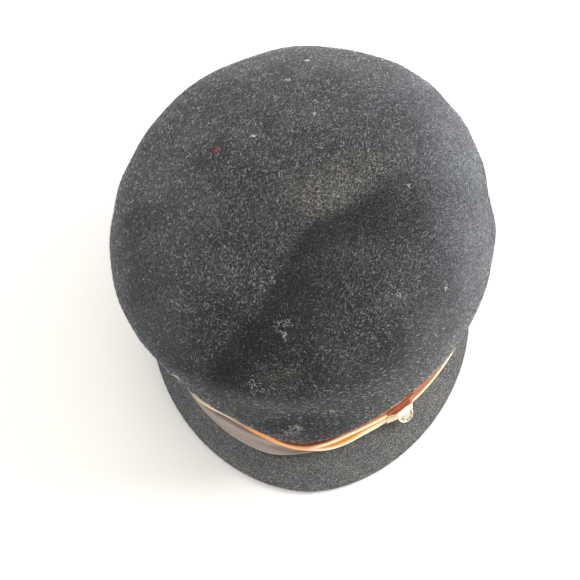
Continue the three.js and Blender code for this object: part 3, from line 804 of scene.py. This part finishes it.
# %% [markdown]
# Beside the button the upper ribbon ends. Its end is turned under, and the edge puffs out over the top of
# the button. The ribbon's own grid can't do that, because it is one height for each place round the crown.
# So the lip is a strip of its own between two surfaces: at its top and its ends it lies on the ribbon, and
# in the middle of its lower edge it reaches a plane just in front of the button.

# %% The ribbon's lip over the button
LIP_COLUMNS, LIP_ROWS, LIP_THICKNESS = 48, 14, 0.6
LIP_FROM, LIP_TO = 28.6, 39.8             # degrees from the front
LIP_TOP, LIP_DROP = 11.5, 9.6             # height of its upper edge, and from there to its lower one
TAB_DROP, TAB_AT, TAB_REACH = 1.2, 0.1, 0.1
LIP_STAND_OFF = 3.45                      # from the crown's face, where it lies on the ribbon
LIP_ON_BUTTON = (-8.6, 8.2, 6.9, 2.0)     # left, right, upper and lower side in the button's own plane
LIP_IN_FRONT = 2.08                       # of the middle of the button's rolled rim
PULL_IN, PULL_DOWN = 0.26, 0.34           # shares of its length and height in which it leaves the ribbon

lip_along = np.linspace(0, 1, LIP_COLUMNS)[None, :]
lip_down = np.linspace(0, 1, LIP_ROWS)[:, None]
lip_angle = angle_at(LIP_FROM + (LIP_TO - LIP_FROM) * lip_along) + 0 * lip_down
lip_height = LIP_TOP - (LIP_DROP + TAB_DROP * bell(lip_along, TAB_AT, TAB_REACH)) * lip_down
on_ribbon = crown_point(lip_angle, along_at(lip_height), LIP_STAND_OFF + 0 * lip_height)
left, right, upper, lower = LIP_ON_BUTTON
u = left + (right - left) * lip_along + 0 * lip_down
v = upper + (lower - upper) * lip_down + 0 * lip_along
on_button = button_middle + u[..., None] * side + v[..., None] * other + LIP_IN_FRONT * axis
ends_in = ease(lip_along, 0, PULL_IN) * ease(1 - lip_along, 0, PULL_IN)
pull = (ends_in * ease(lip_down, 0, PULL_DOWN))[..., None]
lip_middle = on_ribbon + (on_button - on_ribbon) * pull
print("the lip is pulled up to", round(float(np.linalg.norm(on_button - on_ribbon, axis=-1).max()), 1), "mm")

# %% [markdown]
# That surface is the middle of the lip. It gets its thickness along the button's axis, less at the ends, and
# its two faces become one closed ring of rows. Its stripes go on from the ribbon's: cream below, partly a
# painted highlight, a little gold at the left, partly painted shade, and terracotta above.

# %% The lip's mesh
thin_out = np.sin(np.pi * np.clip(lip_along, 0.01, 0.99)) ** 0.4 * (0.35 + 0.65 * ease(lip_down, 0, 0.2))
offset = axis * LIP_THICKNESS / 2 * thin_out[..., None]
lip_ring = np.concatenate([lip_middle + offset, (lip_middle - offset)[::-1]])
i = np.arange(LIP_ROWS - 1)
near, far = i * LIP_COLUMNS, (2 * LIP_ROWS - 1 - i) * LIP_COLUMNS
last = LIP_COLUMNS - 1
lip_ends = np.concatenate([
    np.stack([near, far, far - LIP_COLUMNS, near + LIP_COLUMNS], -1),
    np.stack([near, near + LIP_COLUMNS, far - LIP_COLUMNS, far], -1) + last,
])
lip_faces = np.concatenate([grid_faces(2 * LIP_ROWS, LIP_COLUMNS, True, False), lip_ends])
# the lip's cream is partly a painted highlight and its gold partly painted shade, as on the ribbon
red_from = 0.64 - 0.36 * ease(lip_along, 0.6, 1)    # share of the lip's height where its red begins
lip_red = ease(1 - lip_down, red_from - 0.06, red_from + 0.06)
lip_gold = 0.8 * bell(1 - lip_down, red_from - 0.14, 0.07) * (1 - ease(lip_along, 0.1, 0.35))
lip_cream = (1 - lip_red) * (1 - lip_gold)
all_of, none_of = np.ones_like(lip_red), np.zeros_like(lip_red)
lip_colours = {"cream": lip_cream, "gold": lip_gold, "red": lip_red, "right": all_of, "tan": none_of}
lip_marks = {key: np.concatenate([value, value[::-1]]) for key, value in lip_colours.items()}
ribbon_lip = make_piece("ribbon_lip", lip_ring, lip_faces, (), lip_marks)
from_button = lip_middle - button_middle
aside = np.linalg.norm(np.cross(from_button, axis), axis=-1)
clear_by = np.hypot(aside - roll_middle, from_button @ axis).min() - ROLL_RADIUS - LIP_THICKNESS / 2
print("the lip clears the button's rim by", round(clear_by, 2), "mm")

# %% [markdown]
# Now the pile. Blender's own hair would not be in the exported mesh, so each hair is a tiny closed spike,
# and tens of thousands of them are worked out at once as arrays and joined in one mesh. First each hair
# needs a place on the felt and a direction: brushing lays them all much the same way, and never quite.

# %% Places for the hairs
NAP_SIDES = (-90, 90)              # left and right side, from the middle
NAP_LEFT, NAP_RIGHT = 25.0, 57.0   # direction that the pile leans in, at the left and the right side


def scatter(grid, count, seed, wanted):
    """Random places on a grid of points, as many on each face as its area says, where wanted is true."""
    a, b, c, d = grid[:-1, :], grid[1:, :], np.roll(grid, -1, 1)[1:, :], np.roll(grid, -1, 1)[:-1, :]
    corners = np.stack([a, b, c, d], 2).reshape(-1, 4, 3)
    normals = np.cross(corners[:, 1] - corners[:, 0], corners[:, 2] - corners[:, 0])
    normals = normals + np.cross(corners[:, 2] - corners[:, 0], corners[:, 3] - corners[:, 0])
    area = np.linalg.norm(normals, axis=1) / 2
    area = np.where(wanted(corners.mean(1)), area, 0)
    random = np.random.default_rng(seed)
    face = random.choice(len(area), count, p=area / area.sum())
    u, v = random.uniform(0, 1, (2, count, 1))
    chosen = corners[face]
    place = (1 - u) * (1 - v) * chosen[:, 0] + u * (1 - v) * chosen[:, 1]
    place = place + u * v * chosen[:, 2] + (1 - u) * v * chosen[:, 3]
    normal = normals[face] / np.linalg.norm(normals[face], axis=1, keepdims=True)
    return place, normal, random


def lay_of_pile(place, normal, random, spread):
    """Direction of each hair along the felt: the pile's own lean, turned by a random angle, flat on it."""
    lean = NAP_LEFT + (NAP_RIGHT - NAP_LEFT) * ease(place[:, 0], *NAP_SIDES)
    lean = np.radians(lean + random.normal(0, 1, len(place)) * spread)
    way = np.stack([np.cos(lean), np.sin(lean), np.zeros(len(place))], -1)
    way = way - (way * normal).sum(1, keepdims=True) * normal
    way /= np.maximum(np.linalg.norm(way, axis=1, keepdims=True), 1e-6)
    return way, np.cross(normal, way)


print("the pile leans", NAP_LEFT, "degrees at the left side and", NAP_RIGHT, "at the right one")

# %% [markdown]
# Two kinds of hair are enough: short straight ones that lie almost flat, and longer ones that curl. Each is
# a few rings of three corners with a tip, because a tube with more sides looks the same at this size and
# costs twice the faces.

# %% Hairs as meshes
RING = np.radians([0.0, 120.0, 240.0])
ROOT_DEPTH = 0.1                   # how far a straight hair starts inside the felt
CURL_ROOT, CURL_RISE = 0.05, (0.1, 0.45)
CURL_JOINTS = ((0.0, 0.0), (0.5, 1.0), (1.0, 0.9))   # share of the length, share of the height
CURL_ARCHING = 0.5
FLOOR_GAP = 0.03                   # hairs at the peak's edge stop short of the surface that it lies on


def join_hairs(name, corners, quads, triangles, attributes):
    """All hairs as one mesh: the faces of one hair, each time counted on by its number of points."""
    points = np.stack(corners, 1).reshape(-1, 3)
    points[:, 2] = np.maximum(points[:, 2], FLOOR_GAP)
    base = np.arange(0, len(points), len(corners))[:, None, None]
    quads = (base + np.array(quads, int).reshape(-1, 4)).reshape(-1, 4)
    triangles = (base + np.array(triangles)).reshape(-1, 3)
    values = {key: np.repeat(v, len(corners)) for key, v in attributes.items()}
    return make_piece(name, points, quads, triangles, values, smooth=False)


def straight_hairs(name, place, normal, random, spread, lengths, radius, rise, attributes):
    """Spike with three corners at its root and one at its tip, lying along the pile and rising from it."""
    way, _ = lay_of_pile(place, normal, random, spread)
    lift = np.radians(random.uniform(*rise, (len(place), 1)))
    line = way * np.cos(lift) + normal * np.sin(lift)
    first = np.cross(line, normal)
    first /= np.maximum(np.linalg.norm(first, axis=1, keepdims=True), 1e-6)
    second = np.cross(line, first)
    root = place - ROOT_DEPTH * normal
    corners = [root + radius * (np.cos(t) * first + np.sin(t) * second) for t in RING]
    corners.append(root + line * random.uniform(*lengths, (len(place), 1)))
    return join_hairs(name, corners, [], [(0, 1, 3), (1, 2, 3), (2, 0, 3), (2, 1, 0)], attributes)


def curled_hairs(name, place, normal, random, spread, lengths, radius, curl, attributes):
    """Spike in two joints whose way turns by a random curl from its root to its tip, above the felt."""
    way, beside_way = lay_of_pile(place, normal, random, spread)
    size = random.uniform(*lengths, (len(place), 1))
    bend = random.normal(0, curl, (len(place), 1))
    rise = random.uniform(*CURL_RISE, (len(place), 1))
    root = place + CURL_ROOT * normal
    middles = []
    for share, height in CURL_JOINTS:
        turn = bend * share
        point = root + size * share * (np.cos(turn) * way + np.sin(turn) * beside_way)
        middles.append(point + normal * rise * size * height * CURL_ARCHING)
    corners = []
    for ring_middle, width in ((middles[0], 1.0), (middles[1], 0.85)):
        thick = radius * width
        corners += [ring_middle + thick * (np.cos(t) * normal - np.sin(t) * beside_way) for t in RING]
    corners.append(middles[2])
    sides = [(k, (k + 1) % 3, 3 + (k + 1) % 3, 3 + k) for k in range(3)]
    tips = [(3 + k, 3 + (k + 1) % 3, 6) for k in range(3)] + [(2, 1, 0)]
    return join_hairs(name, corners, sides, tips, attributes)


# %% [markdown]
# The hairs are planted on the felt where it shows: on the crown above the band, and on the upper face and
# edge of the peak. Each hair keeps a random paleness, because brushed pile is a mix of dark wool-like hairs
# and a few worn white ones. It also keeps the values of the place that it grows on: wear with painted
# sunlight, painted shade, and painted sheen with some dust.

# %% Plant the pile
BAND_TOP, PAST_FOOT = 29.0, 1.5
HAIR_RADIUS = 0.075
STRAIGHT_LENGTHS, STRAIGHT_RISE, STRAIGHT_PALE_POWER = (0.7, 1.9), (6, 26), 4
CURL_LENGTHS, CURL, CURL_SPREAD, CURL_PALE_POWER = (1.0, 2.3), 1.6, 60, 1.3
RIM_SPREAD, CREST_SPREAD, CREST_BACK, CREST_REACH = 28, 60, -20, 55


def plan_angle(points):
    """Angle round the hat's middle, as it is seen from above."""
    return np.degrees(np.arctan2(points[:, 1], points[:, 0]))


def on_crown(points):
    """Above the band, whose upper edge rises with the arch."""
    return points[:, 2] > BAND_TOP + arch_lift(plan_angle(points))


def on_peak(points):
    """Past the crown's foot, so that no hair grows under the crown."""
    foot_x, foot_y = oval_point(*CROWN_SECTIONS[0, 1:], plan_angle(points) - TURN_OF_RIM)
    return np.hypot(points[:, 0], points[:, 1]) > np.hypot(foot_x, foot_y) + PAST_FOOT


def hair_values(place, random, pale_power):
    """What its finish reads at each hair; a high power leaves few pale hairs."""
    paleness = random.uniform(0, 1, len(place)) ** pale_power
    warmth = random.uniform(0, 1, len(place))
    # wear with painted sunlight, painted shade, and painted sheen with some dust
    ground = {"worn_and_lit": worn_and_lit_at(place), "deep": painted_shade_at(place), "dust_and_sheen": dust_and_sheen_at(place)}
    return {"pale": paleness, "warm": warmth, **ground}


def plant_straight(name, grid, wanted, count, seed):
    """Straight hairs, which lie most at random round the crest, where hands stroke the hat."""
    place, normal, random = scatter(grid, count, seed, wanted)
    from_crest = np.hypot(place[:, 0], place[:, 1] - CREST_BACK)
    spread = RIM_SPREAD + CREST_SPREAD * np.exp(-(from_crest / CREST_REACH) ** 2)
    values = hair_values(place, random, STRAIGHT_PALE_POWER)
    shape = (STRAIGHT_LENGTHS, HAIR_RADIUS, STRAIGHT_RISE)
    return straight_hairs(name, place, normal, random, spread, *shape, values)


def plant_curled(name, grid, wanted, count, seed):
    """Curled hairs, in every direction about the lean of the pile."""
    place, normal, random = scatter(grid, count, seed, wanted)
    values = hair_values(place, random, CURL_PALE_POWER)
    return curled_hairs(name, place, normal, random, CURL_SPREAD, CURL_LENGTHS, HAIR_RADIUS, CURL, values)


crown_grid = rows[:DOWN]
peak_rows = OUT_THE_PEAK + PEAK_ROUNDING // 2 + 2   # without the tongue, and with the edge to its middle
peak_grid = skin[1:, 1:peak_rows + 1].transpose(1, 0, 2)[:, ::-1]
nap = [
    plant_straight("crown_nap_a", crown_grid, on_crown, 45000, 101),
    plant_straight("crown_nap_b", crown_grid, on_crown, 45000, 102),
    plant_curled("crown_curls", crown_grid, on_crown, 18000, 103),
    plant_straight("peak_nap", peak_grid, on_peak, 25000, 104),
    plant_curled("peak_curls", peak_grid, on_peak, 6500, 105),
]

# %% [markdown]
# A few things have settled on the hat: tufts of pale fibre on the front slope, one of them greenish, a speck
# of red wool, and single white threads. Dots in the felt's colour would lie in it, not on it. So each is a
# small tangle of the same curled hairs, put on the point of the crown's grid that is nearest to its place.

# %% Lint
# right, back, up, reach, count, thickness, green, red
LINT = [
    (-8.9, -76.9, 107.6, 3.4, 26, 0.07, 0.1, 0.0),
    (-6.8, -82.5, 106.1, 2.4, 12, 0.08, 0.0, 0.0),
    (-21.0, -99.9, 93.6, 3.4, 24, 0.07, 0.1, 0.0),
    (-2.9, -106.6, 57.0, 2.4, 44, 0.075, 0.6, 0.0),
    (-7.2, -107.4, 54.9, 4.0, 24, 0.07, 0.2, 0.0),
    (10.6, -103.7, 69.4, 3.4, 16, 0.07, 0.2, 0.0),
    (-60.2, -88.0, 76.6, 2.6, 24, 0.07, 0.0, 0.0),
    (41.9, -65.3, 110.9, 1.8, 7, 0.10, 0.0, 0.0),
    (2.2, 70.0, 113.9, 0.9, 12, 0.14, 0.0, 0.0),
    (-7.1, 54.4, 118.1, 0.6, 9, 0.14, 0.3, 0.1),
    (5.8, 28.5, 121.8, 0.5, 6, 0.14, 0.0, 0.0),
    (-23.0, 16.0, 121.8, 0.5, 6, 0.14, 0.0, 0.0),
    (49.5, -10.9, 117.2, 0.6, 8, 0.14, 0.0, 0.0),
    (65.3, -57.5, 103.8, 0.7, 8, 0.14, 0.0, 0.0),
    (-41.5, 9.5, 120.0, 1.1, 14, 0.12, 0.0, 1.0),
    (-18.1, -59.9, 116.3, 4.0, 20, 0.06, 0.0, 0.25),
    (7.6, -25.7, 121.5, 6.0, 34, 0.06, 0.0, 0.25),
    (-82.6, -12.7, 109.1, 2.6, 14, 0.06, 0.0, 0.3),
]
LINT_SPREAD, LINT_LENGTHS, LINT_CURL = 80, (0.9, 2.6), 1.8
lint_random = np.random.default_rng(200)
lint_places, lint_normals = [], []
for right, back, up, reach, count, *_ in LINT:
    distance = np.linalg.norm(crown_grid[:-1] - [right, back, up], axis=2)
    row, column = np.unravel_index(distance.argmin(), distance.shape)
    here, on_right = crown_grid[row, column], crown_grid[row, (column + 1) % AROUND]
    first = (on_right - here) / np.linalg.norm(on_right - here)
    normal = np.cross(crown_grid[row + 1, column] - here, first)
    normal /= np.linalg.norm(normal)
    spot = lint_random.normal(0, reach / 2, (count, 2))
    lint_places.append(here + spot[:, :1] * first + spot[:, 1:] * np.cross(normal, first))
    lint_normals.append(np.tile(normal, (count, 1)))
lint_counts, lint_widths, greens, reds = list(zip(*LINT))[4:]
lint_marks = {"green": np.repeat(greens, lint_counts), "red": np.repeat(reds, lint_counts)}
lint = curled_hairs(
    "lint", np.concatenate(lint_places), np.concatenate(lint_normals), lint_random, LINT_SPREAD,
    LINT_LENGTHS, np.repeat(lint_widths, lint_counts)[:, None], LINT_CURL, lint_marks,
)

# %% [markdown]
# Finishes are built from shader nodes. Written out, each sum takes a node, its links and its values, and
# what it means is soon lost. So a small class wraps a socket and overloads the operators, and a second one
# holds a material and makes any other node in one call, and a finish reads like sums on paper.

# %% Writing shaders as sums


def put(node, key, value):
    """Gives a socket of a node a link or a value."""
    if isinstance(value, Value):
        node.id_data.links.new(value.socket, node.inputs[key])
    else:
        node.inputs[key].default_value = value


class Value:
    """An output of a shader node; + - * and their reflected forms add Math nodes."""

    def __init__(self, socket):
        self.socket = socket

    def math(self, operation, first, second):
        """A Math node between two numbers or outputs."""
        node = self.socket.node.id_data.nodes.new("ShaderNodeMath")
        node.operation = operation
        put(node, 0, first)
        put(node, 1, second)
        return Value(node.outputs[0])

    def __add__(self, other):
        return self.math("ADD", self, other)

    def __sub__(self, other):
        return self.math("SUBTRACT", self, other)

    def __rsub__(self, other):
        return self.math("SUBTRACT", other, self)

    def __mul__(self, other):
        return self.math("MULTIPLY", self, other)

    __radd__ = __add__
    __rmul__ = __mul__


class Finish:
    """A material with one Principled shader, whose constants are set on the shader's own sockets."""

    def __init__(self, name, **constants):
        self.material = bpy.data.materials.new(name)
        self.material.use_nodes = True
        self.nodes = self.material.node_tree.nodes
        self.shader = self.nodes["Principled BSDF"]
        for key, value in constants.items():
            self.shader.inputs[key.replace("_", " ")].default_value = value

    def node(self, kind, settings=None, inputs=None, output=0):
        """Any node: its settings first, then the values or links of its sockets."""
        node = self.nodes.new(kind)
        for key, value in (settings or {}).items():
            setattr(node, key, value)
        for key, value in (inputs or {}).items():
            put(node, key, value)
        return Value(node.outputs[output])

    def mix(self, factor, first, second):
        """Colour between two colours."""
        sockets = {0: factor, 6: first, 7: second}
        return self.node("ShaderNodeMix", {"data_type": "RGBA"}, sockets, 2)

    def noise(self, where, scale, detail=2.0, roughness=0.5, distortion=0.0):
        """Clouds of numbers about 0.5, finer with the scale."""
        sockets = {"Vector": where, "Scale": scale, "Detail": detail, "Roughness": roughness}
        return self.node("ShaderNodeTexNoise", {}, {**sockets, "Distortion": distortion})

    def ramp(self, value, start, end):
        """Number eased from 0 at start to 1 at end."""
        settings = {"interpolation_type": "SMOOTHSTEP"}
        return self.node("ShaderNodeMapRange", settings, {"Value": value, "From Min": start, "From Max": end})

    def attribute(self, name):
        """A number that was kept with the piece's points."""
        return self.node("ShaderNodeAttribute", {"attribute_name": name}, {}, 2)

    def place(self):
        """Object coordinates, in metres."""
        return self.node("ShaderNodeTexCoord", {}, {}, 3)

    def bump(self, height, distance, strength):
        """Normal tipped as if the surface rose by the distance where the height is 1."""
        return self.node("ShaderNodeBump", {}, {"Height": height, "Distance": distance, "Strength": strength})

    def feed(self, **links):
        """Links to the Principled shader's sockets, with _ for the blanks in their names."""
        for key, value in links.items():
            put(self.shader, key.replace("_", " "), value)

    def dress(self, *pieces):
        """Gives the material to the pieces, in place of any that they have."""
        for piece in pieces:
            piece.data.materials.clear()
            piece.data.materials.append(self.material)
        print(self.material.name, "with", len(self.nodes), "nodes on", *(piece.name for piece in pieces))


# %% [markdown]
# The felt under the pile is nearly black, and on it lie strands too fine to model. Plain noise would look
# like sand. Here it is stretched along the lie of the pile, in two directions that cross, because brushing
# never lays all hairs one way. Sheen is the glow of fibres seen edge on, and it stays low, so that black is
# black.

# %% Velour felt
BLACK = (0.0125, 0.013, 0.0145, 1)
STRAND = (0.129, 0.131, 0.136, 1)
# warm pale colour of the wear and the painted sunlight
WARM_WORN_AND_LIT = (0.228, 0.212, 0.155, 1)
# cool colour of the painted sheen with some dust
COOL_SHEEN_AND_DUST = (0.245, 0.255, 0.285, 1)
# colour of the painted shade
SHADE_BLACK = (0.009, 0.009, 0.010, 1)
STRAND_WIDTH, STRAND_LENGTH = 0.00034, 0.0013
FIRST_LIE, SECOND_LIE = 35.0, 75.0   # degrees from the right
DRIFT_SCALE, DRIFT = 45, 0.18        # slow change of how many strands show
STRANDS_FROM, STRANDS_FULL = 0.53, 0.72

felt = Finish(
    "velour_felt", Roughness=0.95, Specular_IOR_Level=0.12, Sheen_Weight=0.12, Sheen_Roughness=0.5,
    Sheen_Tint=(0.92, 0.96, 1.0, 1),
)
where = felt.place()


def strands(lie, width, length):
    """Noise whose grains are long in the direction in which the pile lies, and narrow across it."""
    turned = felt.node(
        "ShaderNodeMapping", {"vector_type": "TEXTURE"},
        {"Vector": where, "Rotation": (0, 0, np.radians(lie)), "Scale": (length, width, width)},
    )
    return felt.noise(turned, 1.0, 2.0, 0.55, 0.6)


one_way = strands(FIRST_LIE, STRAND_WIDTH, STRAND_LENGTH)
other_way = strands(SECOND_LIE, STRAND_WIDTH, STRAND_LENGTH)
drift = felt.noise(where, DRIFT_SCALE, 3.0)
grain = one_way.math("MAXIMUM", one_way, other_way)
strand = felt.ramp(grain + (drift - 0.5) * DRIFT, STRANDS_FROM, STRANDS_FULL)
worn_and_lit, deep, dust_and_sheen = felt.attribute("worn_and_lit"), felt.attribute("deep"), felt.attribute("dust_and_sheen")
colour = felt.mix(strand, BLACK, STRAND)
# painted cool sheen with some dust
colour = felt.mix(dust_and_sheen * (0.25 + 0.75 * strand), colour, COOL_SHEEN_AND_DUST)
# wear and painted sunlight make the strands warm and pale
colour = felt.mix(worn_and_lit * (0.05 + 0.95 * strand), colour, WARM_WORN_AND_LIT)
# painted shade
colour = felt.mix(deep * (0.85 - 0.25 * strand), colour, SHADE_BLACK)
felt.feed(Base_Color=colour, Normal=felt.bump(grain, 0.0005, 0.7))
felt.dress(crown_felt, peak_felt)

# %% [markdown]
# A hair takes its colour from how pale it is. Most are charcoal and a few are almost white. They turn warm
# where there is wear and painted sunlight, and cool where the felt has painted sheen with some dust. In the
# painted shade, where the pile lies away from the light, even its pale hairs are dimmed. The numbers kept
# with the hairs say all of this, so one finish serves them all.

# %% Pile
HAIR_DARK = (0.018, 0.018, 0.02, 1)
HAIR_PALE = (0.72, 0.72, 0.72, 1)
HAIR_WARM = (0.70, 0.64, 0.48, 1)
# cool hair colour for the painted sheen with some dust
HAIR_COOL = (0.66, 0.70, 0.78, 1)
# hair colour in the painted shade
HAIR_IN_SHADE = (0.015, 0.015, 0.016, 1)

hair = Finish(
    "velour_pile", Roughness=0.75, Specular_IOR_Level=0.2, Sheen_Weight=0.05, Sheen_Roughness=0.5,
)
pale, warm, dust_and_sheen = hair.attribute("pale"), hair.attribute("warm"), hair.attribute("dust_and_sheen")
worn_and_lit, deep = hair.attribute("worn_and_lit"), hair.attribute("deep")
# hairs turn warm at random, and with wear and painted sunlight
bright_hair = hair.mix(warm * 0.5 + worn_and_lit * 0.5, HAIR_PALE, HAIR_WARM)
# painted cool sheen with some dust
bright_hair = hair.mix(dust_and_sheen * 0.8, bright_hair, HAIR_COOL)
# hairs are paler with wear and painted sunlight
colour = hair.mix(pale + worn_and_lit * pale * 0.6, HAIR_DARK, bright_hair)
# painted shade dims the hairs
colour = hair.mix(deep * 0.7, colour, HAIR_IN_SHADE)
hair.feed(Base_Color=colour)
hair.dress(*nap)

# %% [markdown]
# The lint could share the pile's finish, but its threads are wool and cotton, matt and each of one colour:
# off-white, with green or red mixed in by the two numbers of its table.

# %% Lint's colours
LINT_WHITE = (0.72, 0.72, 0.68, 1)
LINT_GREEN = (0.36, 0.44, 0.37, 1)
LINT_RED = (0.50, 0.04, 0.06, 1)

fibre = Finish("lint_fibre", Roughness=0.8, Specular_IOR_Level=0.2)
colour = fibre.mix(fibre.attribute("green"), LINT_WHITE, LINT_GREEN)
fibre.feed(Base_Color=fibre.mix(fibre.attribute("red"), colour, LINT_RED))
fibre.dress(lint)

# %% [markdown]
# Satin is woven so that long threads float on its face, which gives a soft shine over a very fine grain. The
# The threads themselves are too fine to draw one by one, so small noise stands for them and feeds the colour,
# the gloss and the bump. The colours are a few named ones that the stored stripes and marks choose between,
# and some of them stand in part for painted highlight and painted shade.

# %% Taupe satin
TAUPE = (0.285, 0.232, 0.202, 1)
TAUPE_SHADE = (0.105, 0.076, 0.068, 1)
# pale colour of the painted highlights and of the threads
TAUPE_PALE_AND_HIGHLIGHT = (0.44, 0.385, 0.34, 1)
THREAD_SCALE, CLOUD_SCALE = 1500, 90
THREAD_BUMP = 0.0002

satin = Finish("taupe_satin", Roughness=0.42, Specular_IOR_Level=0.35)
where = satin.place()
thread, cloud = satin.noise(where, THREAD_SCALE), satin.noise(where, CLOUD_SCALE)
# painted shade above the fold
colour = satin.mix(satin.attribute("fold"), TAUPE, TAUPE_SHADE)
# painted shade in the dip
colour = satin.mix(satin.attribute("dip") * 0.75, colour, TAUPE_SHADE)
# painted highlights on the fold's crest and the lower edge, with fine lengthwise lines
colour = satin.mix(satin.attribute("pale"), colour, TAUPE_PALE_AND_HIGHLIGHT)
colour = satin.mix((thread - 0.5) * 1.5 + (cloud - 0.5) * 0.5, colour, TAUPE_PALE_AND_HIGHLIGHT)
satin.feed(Base_Color=colour, Roughness=0.36 + thread * 0.15, Normal=satin.bump(thread, THREAD_BUMP, 0.35))
satin.dress(ribbon_under)

# %% [markdown]
# The striped silk starts as orange, and each stripe mixes its colour over what is there; cream is partly a
# painted highlight, and gold and dark red are partly painted shade. The red part is dark red in front and
# terracotta at the right, and a number kept with the points leads from one to the other.

# %% Striped silk
ORANGE = (0.80, 0.33, 0.075, 1)
# gold, which also stands in part for painted shade in the crease
GOLD = (0.52, 0.20, 0.022, 1)
TAN = (0.27, 0.165, 0.105, 1)
# cream, which also stands in part for a painted highlight on the ridges
CREAM = (0.93, 0.84, 0.60, 1)
# dark red, which also stands in part for painted shade under the crown's overhang
DARK_RED = (0.095, 0.010, 0.012, 1)
TERRACOTTA = (0.36, 0.118, 0.055, 1)

silk = Finish("bright_satin", Roughness=0.35, Specular_IOR_Level=0.25)
thread = silk.noise(silk.place(), THREAD_SCALE)
right_side = silk.attribute("right")
colour = silk.mix(silk.attribute("tan"), ORANGE, TAN)
colour = silk.mix(silk.attribute("gold"), colour, GOLD)
colour = silk.mix(silk.attribute("red"), colour, silk.mix(right_side, DARK_RED, TERRACOTTA))
colour = silk.mix(silk.attribute("cream"), colour, CREAM)
colour = silk.mix((thread - 0.5) * 0.3, colour, GOLD)
silk.feed(Base_Color=colour, Roughness=0.30 + thread * 0.12, Normal=silk.bump(thread, THREAD_BUMP, 0.3))
silk.dress(ribbon_over, ribbon_lip)

# %% [markdown]
# The button is pale gilt. Metal takes its look from what it mirrors, so no highlight is painted on it. It
# only needs a colour, a polish with slight wear, and darker gold inside the rolled rim: a little tarnish all
# round, and painted shade in a crescent low and to the right.

# %% Button metal
GILT = (0.92, 0.88, 0.78, 1)
SILVER = (0.66, 0.63, 0.55, 1)
OLD_GOLD = (0.42, 0.27, 0.11, 1)
# shares of the button's radius: the groove's inner and outer side, and where silver goes over into gilt
GROOVE_INSIDE, GROOVE_OUTSIDE, GILT_FROM = (0.42, 0.58), (0.78, 0.86), (0.50, 0.70)

metal = Finish("button_gilt", Metallic=1.0, Roughness=0.2)
scuffs = metal.noise(metal.place(), 900, 4.0, 0.6)
outwards = metal.attribute("outwards")
groove = metal.ramp(outwards, *GROOVE_INSIDE) * (1 - metal.ramp(outwards, *GROOVE_OUTSIDE))
colour = metal.mix(metal.ramp(outwards, *GILT_FROM), SILVER, GILT)
# darker gold in the groove: a little tarnish all round, and more painted shade in the crescent
colour = metal.mix(groove * (0.2 + 0.8 * metal.attribute("tarnish_and_shade")), colour, OLD_GOLD)
metal.feed(Base_Color=colour, Roughness=0.12 + scuffs * 0.2, Normal=metal.bump(scuffs, 0.0001, 0.3))
metal.dress(button)

# %% [markdown]
# The floor is plain and pale.

# %% Floor
FLOOR_HALF = 3.0
FLOOR_GREY, FLOOR_PALE = (0.84, 0.83, 0.79, 1), (0.88, 0.87, 0.84, 1)

floor_corners = [(x * FLOOR_HALF, y * FLOOR_HALF, 0) for x, y in ((-1, -1), (1, -1), (1, 1), (-1, 1))]
floor_mesh = bpy.data.meshes.new("floor")
floor_mesh.from_pydata(floor_corners, [], [(0, 1, 2, 3)])
floor = bpy.data.objects.new("floor", floor_mesh)
bpy.context.collection.objects.link(floor)
paper = Finish("floor_paper", Roughness=0.9, Specular_IOR_Level=0.1)
paper.feed(Base_Color=paper.mix(paper.noise(paper.place(), 8), FLOOR_GREY, FLOOR_PALE))
paper.dress(floor)

# %% [markdown]
# A sun lamp would draw the shadow with a hard edge, and the daylight in the picture comes through a window.
# So a large soft lamp stands at the right and a weaker one behind the hat, and the pale surroundings fill
# the shadows as a white room does.

# %% Lamps and surroundings
LAMPS_LOOK_AT = (0, 0, 0.06)
SURROUNDINGS, SURROUNDINGS_STRENGTH = (1.0, 0.99, 0.97, 1), 1.15


def add_lamp(name, position, size, power, colour):
    """A square area lamp that looks at the middle of the hat."""
    light = bpy.data.lights.new(name, "AREA")
    light.size, light.energy, light.color = size, power, colour
    lamp = bpy.data.objects.new(name, light)
    lamp.location = position
    lamp.rotation_euler = (Vector(LAMPS_LOOK_AT) - Vector(position)).to_track_quat("-Z", "Y").to_euler()
    bpy.context.collection.objects.link(lamp)


add_lamp("window", (1.25, 0.35, 0.7), 0.7, 26.0, (1.0, 0.99, 0.98))
add_lamp("fill", (-0.4, 0.9, 1.1), 1.0, 6.0, (0.97, 0.98, 1.0))
world = bpy.data.worlds.new("surroundings")
bpy.context.scene.world = world
world.use_nodes = True
background = world.node_tree.nodes["Background"].inputs
background["Color"].default_value = SURROUNDINGS
background["Strength"].default_value = SURROUNDINGS_STRENGTH
bpy.context.scene.view_settings.view_transform = "Standard"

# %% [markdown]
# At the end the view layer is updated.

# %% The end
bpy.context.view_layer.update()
